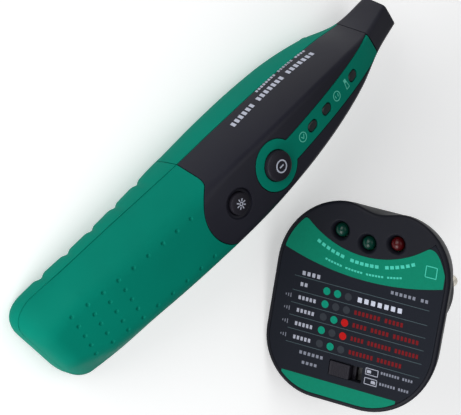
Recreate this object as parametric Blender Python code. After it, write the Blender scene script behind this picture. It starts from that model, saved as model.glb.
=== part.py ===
"""Circuit breaker finder: a hand-held receiver lying on its back, and the plug-in transmitter beside it.

World frame, in metres: the origin is on the flat of the receiver's back, under its middle. +X runs from
the tail of the handle to the sensing nose, +Y is the receiver's left side and +Z points out of its front.
The transmitter rests on its left edge and on the tip of one pin, on the receiver's right side.
Lengths below are in millimetres, and MM turns them into metres.
"""

import math

import bmesh
import bpy
from mathutils import Matrix, Vector

MM = 0.001
GAP = 0.3
WALL = 1.8

# ---------------------------------------------------------------- receiver: driving dimensions
TAIL_X = -88.4
TIP_X = 91.0
NOSE_SEAM_X = 75.5
HANDLE_SEAM_X = -12.8
# The rounds at the tail, as (length along x, how far they move in)
TAIL_SIDE_ROUND = (9.0, 8.0)
TAIL_LEVEL_ROUND = (5.0, 3.6)
# The end of the handle is not quite square: it leans this much, and the lean fades out over the reach.
TAIL_LEAN = 0.15
TAIL_LEAN_REACH = 25.0

# Each profile is a list of (x, value) that a smooth curve runs through.
FRONT_Z = [(-91, 16.2), (-64, 24.6), (-33, 31.4), (-2, 34.5), (29, 34.3), (60, 30.3), (91, 21.0)]
BACK_Z = [(-91, 0.6), (-84, 0.0), (-76, 0.4), (-58, 1.7), (-40, 2.0), (-24, 1.4), (-12, 0.0), (-2, 0.0),
          (40, 0.0), (52, 1.2), (62, 3.8), (75.5, 9.3), (91, 10.3)]
RIDGE_Y = [(-91, 6.5), (-82, 8.2), (-70, 11.6), (-55, 13.2), (-35, 13.9), (-12, 14.4), (2, 13.4),
           (16, 12.6), (46, 10.4), (70, 6.4), (76, 5.7), (91, 5.3)]
RIDGE_ROUND = [(-91, 8.0), (-25, 8.0), (-8, 4.0), (10, 3.0), (60, 2.4), (91, 1.6)]
SEAM_Y = [(-89, 18.2), (-80, 18.8), (-60, 19.5), (-30, 19.8), (0, 19.6), (16, 18.6), (30, 17.3),
          (46, 15.0), (62, 11.6), (75.5, 7.7), (91, 7.2)]
SEAM_Z = [(-89, 8.6), (-81, 9.6), (-66, 12.4), (-50, 14.5), (-15, 18.8), (2, 19.6), (16, 19.3), (46, 17.4),
          (62, 14.8), (75.5, 12.0), (91, 13.0)]
BACK_ROUND = [(-91, 3.5), (-75, 4.5), (-55, 7.0), (-20, 9.5), (-8, 11.0), (20, 9.0), (50, 7.0),
              (68, 3.5), (75.5, 2.0), (91, 1.6)]
FRONT_CROWN = 0.0037

GRIP_FIRST_X = -71.0
GRIP_PITCH = 11.8
GRIP_COUNT = 5
GRIP_DEPTH = 0.9
GRIP_HALF_WIDTH = 2.6

POWER_BUTTON_X = 11.7
POWER_BUTTON_RADIUS = 5.4
POWER_BUTTON_TOP_Z = 37.2
LIGHT_BUTTON_X = -8.1
LIGHT_BUTTON_RADIUS = 3.9
LIGHT_BUTTON_TOP_Z = 35.0
LIGHT_DISH_RADIUS = 5.6
STRIP_RING_RADIUS = 9.2
STRIP_HALF_WIDTH = 4.3
STRIP_DEPTH = 1.0
STRIP_FLOOR_Z = 18.0
WINDOW_X = (32.4, 41.1, 58.7)
WINDOW_LENGTH = 5.4
WINDOW_WIDTH = 3.7
TONGUE_RADIUS = 14.3
TONGUE_ROUND = 2.6

DOOR_X = -23.0
DOOR_HALF_WIDTH = 12.5
DOOR_TOP_Z = 3.1

BOARD_Z = 20.0
BOARD_THICK = 1.6
BOARD_OUTLINE = [(-9.4, 13.0), (28.0, 13.0), (62.0, 6.2)]
BATTERY_SIZE = (46.6, 24.8, 16.0)
BATTERY_CENTRE = (-36.2, 0.0, 14.2)
BATTERY_TILT = math.radians(5.0)
STUD_Y = 6.35
COIL_Z = 16.4
TORCH_Z = 4.4
TORCH_RADIUS = 2.5
# The hump that holds the torch: (x, half its width, its lowest z)
TORCH_HUMP = [(51.5, 5.2, 3.2), (54.5, 7.6, 1.2), (57.5, 8.4, 0.6), (65.6, 8.4, 0.6), (67.2, 7.6, 1.4)]
TORCH_HUMP_TOP = 9.0
TORCH_HUMP_ROUND = 2.2
BACK_SCREWS = [(-5.0, 6.5), (-5.0, -6.5), (48.0, 0.0)]
SCREW_HEAD_RADIUS = 2.6
SCREW_SHANK_RADIUS = 1.3
POST_RADIUS = 3.4
STEM_RADIUS = 1.6
BUTTON_LOW_Z = 27.3
BUTTON_FLANGE_Z = (29.9, 31.0)
BUTTON_FLANGE_WIDTH = 0.9
SWITCH_HALF = 3.0
SWITCH_Z = (21.9, 24.9)
PLUNGER_TOP_Z = 25.9
PLUNGER_RADIUS = 1.7
BUZZER_X = 22.0
BUZZER_RADIUS = 6.0
BUZZER_HEIGHT = 5.5
ANTENNA_CORE_X = (67.0, 86.0)
ANTENNA_CORE_RADIUS = 1.4
ANTENNA_COIL_X = (70.0, 82.0)
ANTENNA_COIL_RADIUS = 3.0

# ---------------------------------------------------------------- transmitter: driving dimensions
FACE_HALF_WIDTH = 33.6
FACE_MIDDLE_X = -0.6
FACE_LEAN = 0.03
FACE_TOP = 37.5
FACE_BOTTOM = -37.3
# Corner radii, as (left, right)
FACE_ROUND_TOP = (27.0, 23.0)
FACE_ROUND_BOTTOM = (22.0, 27.0)
NOTCH_X = 1.5
NOTCH_DEPTH = 2.7
NOTCH_HALF_WIDTH = 7.6
NOTCH_REACH = 9.0
FRONT_SHELL_DEPTH = 11.5
BODY_DEPTH = 26.0
BOSS_RADIUS = 18.4
BOSS_DEPTH = 18.4
PIN_RADIUS = 2.4
PIN_LENGTH = 19.0
PIN_INNER_END = -17.0
PIN_SPACING = 19.0
CLIP_HALF_WIDTH = 3.2
CLIP_DEPTH = 1.6
# (depth behind the face, how far the outline has moved in)
SIDE_PROFILE = [(0.0, 0.9), (0.3, 0.3), (0.8, 0.0), (4.0, 0.8), (7.0, 1.8), (10.0, 3.0), (11.5, 3.75),
                (14.5, 5.5), (19.0, 8.0), (23.5, 10.8), (26.0, 13.0)]
LABEL_INSET = 1.5
LABEL_THICK = 0.5
LABEL_ARC_Y = 19.2
LABEL_ARC_RADIUS = 37.0
STATUS_LEDS = [(-10.8, 26.2), (0.2, 23.9), (11.2, 26.2)]
LED_RADIUS = 2.5
SLOT_CENTRE = (-1.2, -24.2)
SLOT_SIZE = (13.2, 5.8)
KNOB_SIZE = (8.2, 5.2)
KNOB_X = -3.4
TX_BOARD_TOP = -8.5
TX_BOARD_OUTLINE = [(-20, -28), (16, -28), (24, -20), (26, -14), (26, 21), (17, 28), (-17, 28), (-25.5, 21),
                    (-26, -21)]
TX_PART_LOW = -18.8
SIGNAL_CHIP = [(-5.0, -6.0), (5.0, 0.0)]
MAINS_CAPACITOR = [(-19.5, 3.0), (-12.2, 14.0)]
CHOKE_CENTRE = (16.8, 8.6)
CHOKE_RADIUS = 4.6
TRANSFORMER_CENTRE = (0.0, 15.0)
TRANSFORMER_RADIUS = 6.0
# The fuse lies along x at this (y, z).
FUSE_CENTRE = (-12.5, -15.0)
FUSE_RADIUS = 2.5
FUSE_HALF_LENGTH = 10.0
TX_SCREWS = [(12.5, 18.0), (-12.5, 18.0), (12.5, -18.0), (-12.5, -18.0)]
TX_HEAD_SEAT = -23.3
TX_SCREW_LENGTH = 12.6

# How the transmitter rests: the tilt of its face normal from vertical, that normal's heading, its roll
FACE_TILT = math.radians(67.0)
FACE_HEADING = math.radians(144.8)
FACE_ROLL = math.radians(9.0)
TRANSMITTER_X = 9.2
TRANSMITTER_Y = -66.1


# ---------------------------------------------------------------- scene, materials and mesh helpers
def clear_scene():
    for item in list(bpy.data.objects):
        bpy.data.objects.remove(item, do_unlink=True)


def material(name, colour, roughness, metallic=0.0, transmission=0.0):
    made = bpy.data.materials.new(name)
    made.use_nodes = True
    shader = made.node_tree.nodes["Principled BSDF"]
    shader.inputs["Base Color"].default_value = (*colour, 1.0)
    shader.inputs["Roughness"].default_value = roughness
    shader.inputs["Metallic"].default_value = metallic
    shader.inputs["Transmission Weight"].default_value = transmission
    return made


def make_materials():
    return {
        "green": material("green_plastic", (0.0, 0.26, 0.17), 0.45),
        "dark": material("dark_plastic", (0.02, 0.02, 0.026), 0.45),
        "black": material("black_plastic", (0.012, 0.012, 0.015), 0.4),
        "window": material("smoked_lens", (0.03, 0.05, 0.04), 0.1),
        "green_lens": material("green_lens", (0.0, 0.08, 0.04), 0.08),
        "red_lens": material("red_lens", (0.15, 0.0, 0.005), 0.08),
        "clear_lens": material("clear_lens", (0.8, 0.85, 0.85), 0.05, 0.0, 0.8),
        "board": material("circuit_board", (0.02, 0.12, 0.05), 0.4),
        "chip": material("chip_resin", (0.015, 0.015, 0.015), 0.5),
        "steel": material("screw_steel", (0.5, 0.5, 0.5), 0.3, 1.0),
        "brass": material("plated_brass", (0.75, 0.68, 0.5), 0.25, 1.0),
        "copper": material("coil_copper", (0.55, 0.22, 0.1), 0.35, 1.0),
        "ferrite": material("ferrite", (0.05, 0.05, 0.05), 0.7),
        "battery": material("battery_label", (0.03, 0.05, 0.12), 0.35),
        "red_wire": material("red_insulation", (0.45, 0.01, 0.01), 0.4),
    }


def new_object(name, bm, mat, parent=None, matrix=None):
    """An object from a bmesh in millimetres. Triangles keep every face flat for the Booleans."""
    bmesh.ops.recalc_face_normals(bm, faces=bm.faces)
    bmesh.ops.triangulate(bm, faces=bm.faces)
    mesh = bpy.data.meshes.new(name)
    bm.to_mesh(mesh)
    bm.free()
    mesh.transform(Matrix.Scale(MM, 4))
    mesh.materials.append(mat)
    made = bpy.data.objects.new(name, mesh)
    bpy.context.scene.collection.objects.link(made)
    if parent is not None:
        made.parent = parent
    if matrix is not None:
        made.matrix_basis = matrix
    return made


def loft(rings):
    """A closed body through rings of equal length, with flat ends."""
    bm = bmesh.new()
    loops = [[bm.verts.new(point) for point in ring] for ring in rings]
    count = len(loops[0])
    for first, second in zip(loops, loops[1:]):
        for i in range(count):
            j = (i + 1) % count
            bm.faces.new((first[i], first[j], second[j], second[i]))
    bm.faces.new(loops[0])
    bm.faces.new(loops[-1])
    return bm


def box(low, high):
    corners = [(low[0], low[1]), (high[0], low[1]), (high[0], high[1]), (low[0], high[1])]
    return prism(corners, low[2], high[2])


def prism(outline, low, high):
    """An (x, y) outline raised from z = low to z = high."""
    return loft([[(x, y, low) for x, y in outline], [(x, y, high) for x, y in outline]])


def side_prism(outline, half_width):
    """An (x, z) outline, stretched across y."""
    return loft([[(x, -half_width, z) for x, z in outline], [(x, half_width, z) for x, z in outline]])


def circle(centre, radius, steps):
    turns = [2 * math.pi * i / steps for i in range(steps)]
    return [(centre[0] + radius * math.cos(a), centre[1] + radius * math.sin(a)) for a in turns]


def turned(centre, profile, steps):
    """A turned body about the z axis through centre, from (radius, z) points going up."""
    return loft([[(x, y, z) for x, y in circle(centre, radius, steps)] for radius, z in profile])


def turned_along_x(centre, profile, steps):
    """A turned body about a line along x, from (radius, x) points."""
    rings = []
    for radius, x in profile:
        rings.append([(x, y, z) for y, z in circle(centre, radius, steps)])
    return loft(rings)


def obround(centre, length, width, steps=6):
    """A slot shape, long in x, with round ends."""
    radius = width / 2
    reach = length / 2 - radius
    right = [math.pi * (i / steps - 0.5) for i in range(steps + 1)]
    points = [(centre[0] + reach + radius * math.cos(a), centre[1] + radius * math.sin(a)) for a in right]
    points += [(centre[0] - reach - radius * math.cos(a), centre[1] - radius * math.sin(a)) for a in right]
    return points


def helper(name, bm, parent=None):
    """A hidden body that only shapes other pieces."""
    made = new_object(name, bm, MATERIALS["black"], parent)
    made.hide_render = True
    made.display_type = "WIRE"
    return made


def combine(piece, tool, operation):
    step = piece.modifiers.new(tool.name, "BOOLEAN")
    step.operation = operation
    step.solver = "EXACT"
    step.object = tool


def cut(piece, *tools):
    for tool in tools:
        combine(piece, tool, "DIFFERENCE")


def keep(piece, *tools):
    for tool in tools:
        combine(piece, tool, "INTERSECT")


def add(piece, *tools):
    for tool in tools:
        combine(piece, tool, "UNION")


def merge_flat_faces(piece, angle=1.5):
    """Joins the slivers that the Booleans leave on faces that are flat, or nearly."""
    step = piece.modifiers.new("merge_flat_faces", "DECIMATE")
    step.decimate_type = "DISSOLVE"
    step.angle_limit = math.radians(angle)


def shade_round(piece, angle=35.0):
    piece.data.shade_smooth()
    piece.data.set_sharp_from_angle(angle=math.radians(angle))


# ---------------------------------------------------------------- receiver: the body's shape
def value_at(points, x):
    """The smooth curve through (x, value) points, as a cubic between neighbours."""
    if x <= points[0][0]:
        return points[0][1]
    if x >= points[-1][0]:
        return points[-1][1]
    i = max(k for k in range(len(points) - 1) if points[k][0] <= x)

    def slope(k):
        low = points[max(k - 1, 0)]
        high = points[min(k + 1, len(points) - 1)]
        return (high[1] - low[1]) / (high[0] - low[0])

    (x0, v0), (x1, v1) = points[i], points[i + 1]
    width = x1 - x0
    t = (x - x0) / width
    rise = (2 * t**3 - 3 * t**2 + 1) * v0 + (3 * t**2 - 2 * t**3) * v1
    return rise + width * ((t**3 - 2 * t**2 + t) * slope(i) + (t**3 - t**2) * slope(i + 1))


def rounded_corner(before, corner, after, radius, steps):
    """Points of the arc that rounds a corner, in (y, z). A short side makes the arc smaller."""
    corner = Vector(corner)
    to_before = Vector(before) - corner
    to_after = Vector(after) - corner
    longest = 0.85 * min(to_before.length, to_after.length)
    to_before.normalize()
    to_after.normalize()
    half = to_before.angle(to_after) / 2
    reach = min(radius / math.tan(half), longest)
    radius = reach * math.tan(half)
    centre = corner + (to_before + to_after).normalized() * (radius / math.sin(half))
    start = corner + to_before * reach - centre
    end = corner + to_after * reach - centre
    angle = start.angle(end)
    arc = []
    for i in range(steps + 1):
        t = i / steps
        point = (start * math.sin((1 - t) * angle) + end * math.sin(t * angle)) / math.sin(angle)
        arc.append(tuple(centre + point))
    return arc


def grip_dent(x):
    """How far the finger notches cut into the back edge of the handle at x."""
    depth = 0.0
    for i in range(GRIP_COUNT):
        off = abs(x - GRIP_FIRST_X - i * GRIP_PITCH) / GRIP_HALF_WIDTH
        if off < 1:
            depth = GRIP_DEPTH * (1 + math.cos(math.pi * off)) / 2
    return depth


def tail_drop(from_end, length, most):
    """How far an elliptical round at the tail has moved in, at a distance from the end."""
    into_round = min(max(0.0, length - from_end) / length, 1.0)
    return most * (1 - math.sqrt(1 - into_round**2))


def section(x, inset=0.0, tail_x=TAIL_X):
    """The receiver's closed outline at x, as (x, y, z), moved in by inset all round."""
    side_in = inset + tail_drop(x - tail_x, *TAIL_SIDE_ROUND)
    level_in = inset + tail_drop(x - tail_x, *TAIL_LEVEL_ROUND)
    dent = grip_dent(x) if inset == 0.0 else 0.0
    front = value_at(FRONT_Z, x) - level_in
    back = max(value_at(BACK_Z, x), 0.0) + level_in
    ridge = value_at(RIDGE_Y, x)
    ridge_z = front - FRONT_CROWN * ridge**2
    seam_z = value_at(SEAM_Z, x)
    seam_y = value_at(SEAM_Y, x) - side_in
    ridge = min(ridge - inset * 0.8, seam_y * 0.6)
    foot_y = seam_y - 0.2 - dent
    ridge_round = max(value_at(RIDGE_ROUND, x) - inset, 0.7)
    back_round = min(max(value_at(BACK_ROUND, x) - inset, 0.7), (seam_z - back) * 0.8)
    crown = [(ridge * k * 0.2, front - FRONT_CROWN * (ridge * k * 0.2) ** 2) for k in (1, 2)]
    half = [(0.0, front)] + crown
    half += rounded_corner(half[-1], (ridge, ridge_z), (seam_y, seam_z), ridge_round, 4)
    half.append((seam_y, seam_z))
    half += rounded_corner((seam_y, seam_z), (foot_y, back + dent), (0.0, back + dent), back_round, 4)
    half.append((foot_y * 0.3, back))
    half.append((0.0, back))
    other = [(-y, z) for y, z in half[-2:0:-1]]
    lean = TAIL_LEAN * max(0.0, 1 - (x - TAIL_X) / TAIL_LEAN_REACH) ** 2
    return [(x - y * lean, y, z) for y, z in half + other]


def stations(low, high, tail_x):
    """Where the sections stand: close together round the tail and along the grip notches."""
    tail = [tail_x + TAIL_SIDE_ROUND[0] * (1 - math.cos(math.radians(a))) for a in (25, 42, 58, 74, 90)]
    grip = [GRIP_FIRST_X + GRIP_PITCH * (i + k / 4) for i in range(GRIP_COUNT) for k in (-1, 0, 1, 2)]
    rest = [-8, 0, 8, 16, 26, 36, 46, 54, 62, 69, NOSE_SEAM_X, 83]
    inner = sorted(x for x in tail + grip + rest if low + 0.4 < x < high - 0.4)
    return [low] + inner + [high]


def body_loft(inset, low, high):
    return loft([section(x, inset, low) for x in stations(low, high, low)])


def front_normal_turn(x):
    """The rotation that lays a piece on the front surface at x."""
    slope = (value_at(FRONT_Z, x + 1) - value_at(FRONT_Z, x - 1)) / 2
    return Matrix.Rotation(-math.atan(slope), 4, "Y")


def on_front(x, y=0.0, lift=0.0):
    place = Vector((x, y, value_at(FRONT_Z, x))) * MM
    turn = front_normal_turn(x)
    return Matrix.Translation(place) @ turn @ Matrix.Translation((0, 0, lift * MM))


def seam_region(above):
    """Everything above or below the seam between the front and back shells."""
    seam = [(x, value_at(SEAM_Z, x)) for x in stations(TAIL_X - 4, TIP_X + 4, TAIL_X)]
    side = 1 if above else -1
    edge = [(x, z + side * GAP / 2) for x, z in seam]
    far = 60.0 if above else -20.0
    return side_prism([(edge[0][0], far)] + edge + [(edge[-1][0], far)], 40.0)


def tongue_outline(grow):
    """Plan of the upper cover: it ends in a round tongue about the light button."""
    radius = TONGUE_RADIUS + grow
    edge_x = HANDLE_SEAM_X - grow
    small = TONGUE_ROUND
    # The small round lies inside the handle's corner, tangent to the tongue's circle and to the seam line.
    round_x = edge_x - small
    round_y = math.sqrt((radius + small) ** 2 - (round_x - LIGHT_BUTTON_X) ** 2)
    meet = math.atan2(round_y, round_x - LIGHT_BUTTON_X)
    points = [(100.0, 40.0), (edge_x, 40.0)]
    for i in range(4):
        turn = (meet - math.pi) * i / 3
        points.append((round_x + small * math.cos(turn), round_y + small * math.sin(turn)))
    sweep = 2 * (math.pi - meet)
    for i in range(1, 14):
        turn = meet + sweep * i / 14
        points.append((LIGHT_BUTTON_X + radius * math.cos(turn), radius * math.sin(turn)))
    mirrored = [(x, -y) for x, y in reversed(points[:6])]
    return points + mirrored


def keyhole_outline(grow, end_x):
    """The ring round the power button, and the strip that runs from it to the nose."""
    radius = STRIP_RING_RADIUS + grow
    half = STRIP_HALF_WIDTH + grow
    start = math.asin(half / radius)
    points = [(end_x, -half), (end_x, half)]
    for i in range(21):
        turn = start + (2 * math.pi - 2 * start) * i / 20
        points.append((POWER_BUTTON_X + radius * math.cos(turn), radius * math.sin(turn)))
    return points


# ---------------------------------------------------------------- receiver: pieces
def receiver_shells(mats):
    outer = helper("body_outside", body_loft(0.0, TAIL_X, TIP_X))
    inner = helper("body_inside", body_loft(WALL, TAIL_X + 2.2, TIP_X - 2.2))
    under_strip = helper("below_strip", body_loft(STRIP_DEPTH, TAIL_X + 3, TIP_X - 3))
    under_pocket = helper("below_pocket", body_loft(STRIP_DEPTH + GAP, TAIL_X + 3, TIP_X - 3))
    front_side = helper("front_side", seam_region(True))
    back_side = helper("back_side", seam_region(False))
    edge = NOSE_SEAM_X - GAP / 2
    before_nose = helper("before_nose", box((-120, -40, -20), (edge, 40, 60)))
    tongue = helper("tongue", prism(tongue_outline(-GAP / 2), -10, 60))
    tongue_wide = helper("tongue_wide", prism(tongue_outline(GAP / 2), -10, 60))

    # The green strip and its pocket
    strip_plan = prism(keyhole_outline(0.0, edge - 0.2), STRIP_FLOOR_Z, 60)
    strip = new_object("indicator_strip", strip_plan, mats["green"])
    pocket = helper("strip_pocket", prism(keyhole_outline(GAP, 90.0), 10, 60))
    cut(pocket, under_pocket)
    keep(strip, outer)
    cut(strip, under_strip)

    button_plan = circle((POWER_BUTTON_X, 0), POWER_BUTTON_RADIUS + GAP, 28)
    button_hole = helper("power_button_hole", prism(button_plan, 10, 60))
    light_plan = circle((LIGHT_BUTTON_X, 0), LIGHT_BUTTON_RADIUS + GAP, 24)
    light_hole = helper("light_button_hole", prism(light_plan, 10, 60))
    dish_low = value_at(FRONT_Z, LIGHT_BUTTON_X) - 1.0
    dish_plan = circle((LIGHT_BUTTON_X, 0), LIGHT_DISH_RADIUS, 28)
    dish = helper("light_button_dish", prism(dish_plan, dish_low, 60))
    cut(strip, button_hole)

    cover = new_object("front_upper_cover", body_loft(0.0, TAIL_X, TIP_X), mats["dark"])
    cut(cover, inner)
    keep(cover, front_side, before_nose, tongue)
    cut(cover, pocket, button_hole, light_hole, dish)

    for i, x in enumerate(WINDOW_X, 1):
        place = on_front(x)
        through = helper(f"window_hole_{i}", prism(obround((0, 0), WINDOW_LENGTH, WINDOW_WIDTH), -1.6, 4))
        through.matrix_basis = place
        light_way = helper(f"window_light_way_{i}", prism(circle((0, 0), 1.2, 12), -4.5, 4))
        light_way.matrix_basis = place
        cut(strip, through)
        cut(cover, light_way)
        lens_plan = obround((0, 0), WINDOW_LENGTH - 2 * GAP, WINDOW_WIDTH - 2 * GAP)
        lens = new_object(f"led_window_{i}", prism(lens_plan, -0.95, -0.1), mats["window"])
        lens.matrix_basis = place

    handle = new_object("front_handle_cover", body_loft(0.0, TAIL_X, TIP_X), mats["green"])
    cut(handle, inner)
    keep(handle, front_side)
    cut(handle, tongue_wide)

    upper_region = helper("upper_region", box((HANDLE_SEAM_X + GAP / 2, -40, -20), (edge, 40, 60)))
    lower_region = helper("lower_region", box((-120, -40, -20), (HANDLE_SEAM_X - GAP / 2, 40, 60)))
    upper_back = new_object("upper_back_shell", body_loft(0.0, TAIL_X, TIP_X), mats["green"])
    cut(upper_back, inner)
    keep(upper_back, back_side, upper_region)
    finish_upper_back(upper_back, outer)

    door_room = (DOOR_X + GAP, DOOR_HALF_WIDTH + GAP, DOOR_TOP_Z + GAP)
    door_way = helper("door_way", box((-120, -door_room[1], -20), (door_room[0], door_room[1], door_room[2])))
    grip = new_object("handle_grip_shell", body_loft(0.0, TAIL_X, TIP_X), mats["green"])
    cut(grip, inner)
    keep(grip, back_side, lower_region)
    cut(grip, door_way)
    door_box = box((-120, -DOOR_HALF_WIDTH, -20), (DOOR_X, DOOR_HALF_WIDTH, DOOR_TOP_Z))
    door = new_object("battery_door", door_box, mats["green"])
    keep(door, outer)

    nose_box = box((NOSE_SEAM_X + GAP / 2, -40, -20), (120, 40, 60))
    nose = new_object("nose_cap", nose_box, mats["black"])
    keep(nose, outer)
    cut(nose, inner)
    for piece in (cover, handle, upper_back, grip, nose, strip, door):
        merge_flat_faces(piece)
        shade_round(piece)


def finish_upper_back(shell, outer):
    """Adds the screw posts and the torch housing to the upper back shell, and its screw holes."""
    for i, (x, y) in enumerate(BACK_SCREWS, 1):
        plan = circle((x, y), POST_RADIUS, 16)
        add(shell, helper(f"screw_post_{i}", prism(plan, value_at(BACK_Z, x) + 1.0, BOARD_Z - GAP)))
    add(shell, helper("torch_hump", torch_hump()))
    for i, (x, y) in enumerate(BACK_SCREWS, 1):
        bottom = value_at(BACK_Z, x)
        head_plan = circle((x, y), SCREW_HEAD_RADIUS + GAP, 16)
        shank_plan = circle((x, y), SCREW_SHANK_RADIUS + GAP, 12)
        head = helper(f"screw_head_hole_{i}", prism(head_plan, -5, bottom + 2.6))
        shank = helper(f"screw_hole_{i}", prism(shank_plan, -5, bottom + 16))
        cut(shell, head, shank)
    bore_radius = TORCH_RADIUS + GAP
    bore = turned_along_x((0.0, TORCH_Z), [(bore_radius, 58.0), (bore_radius, 80.0)], 16)
    torch_bore = helper("torch_bore", bore)
    cut(shell, torch_bore)


def torch_hump():
    rings = []
    for x, half, low in TORCH_HUMP:
        side = rounded_corner((half, TORCH_HUMP_TOP), (half, low), (0, low), TORCH_HUMP_ROUND, 3)
        outline = [(half, TORCH_HUMP_TOP)] + side
        mirrored = [(-y, z) for y, z in reversed(outline)]
        rings.append([(x, y, z) for y, z in outline + mirrored])
    return loft(rings)


def receiver_controls(mats):
    power = button_body(POWER_BUTTON_RADIUS, POWER_BUTTON_TOP_Z, 1.2, 28)
    light = button_body(LIGHT_BUTTON_RADIUS, LIGHT_BUTTON_TOP_Z, 0.5, 20)
    button("power_button", mats, POWER_BUTTON_X, power)
    button("light_button", mats, LIGHT_BUTTON_X, light)
    for name, x in (("power_switch", POWER_BUTTON_X), ("light_switch", LIGHT_BUTTON_X)):
        low = (x - SWITCH_HALF, -SWITCH_HALF, SWITCH_Z[0])
        switch = new_object(name, box(low, (x + SWITCH_HALF, SWITCH_HALF, SWITCH_Z[1])), mats["chip"])
        plunger_plan = circle((x, 0), PLUNGER_RADIUS, 14)
        plunger = helper(name + "_plunger", prism(plunger_plan, SWITCH_Z[1] - 1.0, PLUNGER_TOP_Z))
        add(switch, plunger)


def button_body(radius, top, dome, steps):
    """A domed push button with a retaining flange and a stem, about its own z axis."""
    flange = radius + BUTTON_FLANGE_WIDTH
    flange_low, flange_high = BUTTON_FLANGE_Z
    profile = [(STEM_RADIUS, BUTTON_LOW_Z), (STEM_RADIUS, flange_low), (flange, flange_low),
               (flange, flange_high), (radius, flange_high), (radius, top - dome),
               (radius - 0.25, top - dome * 0.55), (radius - 0.8, top - dome * 0.25),
               (radius * 0.5, top - dome * 0.05), (radius * 0.15, top)]
    return turned((0, 0), profile, steps)


def button(name, mats, x, bm):
    """A button with its origin on its own axis, at x."""
    made = new_object(name, bm, mats["black"])
    made.matrix_basis = Matrix.Translation((x * MM, 0, 0))
    shade_round(made)


def receiver_electronics(mats):
    plan = [(x, -y) for x, y in BOARD_OUTLINE] + [(x, y) for x, y in reversed(BOARD_OUTLINE)]
    new_object("main_board", prism(plan, BOARD_Z, BOARD_Z + BOARD_THICK), mats["board"])
    top = BOARD_Z + BOARD_THICK + GAP
    new_object("processor_chip", box((18.6, -3.5, top), (25.6, 3.5, top + 1.2)), mats["chip"])
    new_object("amplifier_chip", box((44.0, -2.6, top), (51.0, 2.6, top + 1.3)), mats["chip"])
    for i, x in enumerate(WINDOW_X, 1):
        tip = value_at(FRONT_Z, x) - 4.6
        profile = [(1.5, top), (1.5, tip - 1.3), (1.3, tip - 0.6), (0.8, tip - 0.15), (0.2, tip)]
        led = new_object(f"indicator_led_{i}", turned((x, 0), profile, 14), mats["green_lens"])
        shade_round(led)
    low = BOARD_Z - GAP
    can = [(BUZZER_RADIUS, low - BUZZER_HEIGHT), (BUZZER_RADIUS, low)]
    shade_round(new_object("buzzer", turned((BUZZER_X, 0.0), can, 24), mats["chip"]))
    rod = turned_along_x((0, COIL_Z), [(ANTENNA_CORE_RADIUS, x) for x in ANTENNA_CORE_X], 14)
    core = new_object("antenna_core", rod, mats["ferrite"])
    shade_round(core)
    winding = turned_along_x((0, COIL_Z), [(ANTENNA_COIL_RADIUS, x) for x in ANTENNA_COIL_X], 18)
    coil = new_object("antenna_coil", winding, mats["copper"])
    bore = turned_along_x((0, COIL_Z), [(ANTENNA_CORE_RADIUS + GAP, x) for x in ANTENNA_CORE_X], 14)
    cut(coil, helper("coil_hole", bore))
    shade_round(coil)
    profile = [(TORCH_RADIUS, 58.6), (TORCH_RADIUS, 66.8), (2.2, 68.2), (1.3, 69.0), (0.3, 69.3)]
    torch = new_object("torch_led", turned_along_x((0.0, TORCH_Z), profile, 16), mats["clear_lens"])
    shade_round(torch)


def receiver_battery(mats):
    length, width, height = (side / 2 for side in BATTERY_SIZE)
    place = Matrix.Translation(Vector(BATTERY_CENTRE) * MM) @ Matrix.Rotation(-BATTERY_TILT, 4, "Y")
    battery = new_object("battery", box((-length, -width, -height), (length, width, height)), mats["battery"])
    battery.matrix_basis = place
    for i, y in enumerate((STUD_Y, -STUD_Y), 1):
        profile = [(3.2, -length - 2.4), (3.2, -length + 1)]
        stud = helper(f"battery_stud_{i}", turned_along_x((y, 0), profile, 16))
        stud.matrix_basis = place
        add(battery, stud)
    snap_box = box((-length - 4.0, -12.6, -6.0), (-length - GAP, 12.6, 6.0))
    snap = new_object("battery_snap", snap_box, mats["chip"])
    snap.matrix_basis = place
    for i, y in enumerate((STUD_Y, -STUD_Y), 1):
        socket = turned_along_x((y, 0), [(3.5, -length - 2.8), (3.5, -length + 1)], 16)
        hole = helper(f"snap_socket_{i}", socket)
        hole.matrix_basis = place
        cut(snap, hole)
    for name, side, colour in (("battery_lead_red", 1, "red_wire"), ("battery_lead_black", -1, "black")):
        battery_lead(name, side, mats[colour])


def battery_lead(name, side, mat):
    """A wire from the battery snap along the handle wall to the board's edge."""
    route = [(-64.4, 13.3, 12.6), (-61.5, 14.9, 12.4), (-52, 15.4, 12.8), (-40, 15.6, 13.8),
             (-28, 15.8, 15.4), (-18, 15.6, 17.4), (-13, 14.6, 19.4), (-11.4, 12.0, 20.8), (-9.9, 10.0, 20.8)]
    curve = bpy.data.curves.new(name, "CURVE")
    curve.dimensions = "3D"
    curve.bevel_depth = 0.6 * MM
    curve.bevel_resolution = 1
    curve.use_fill_caps = True
    spline = curve.splines.new("POLY")
    spline.points.add(len(route) - 1)
    for point, (x, y, z) in zip(spline.points, route):
        point.co = (x * MM, side * y * MM, z * MM, 1.0)
    curve.materials.append(mat)
    made = bpy.data.objects.new(name, curve)
    bpy.context.scene.collection.objects.link(made)


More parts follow.
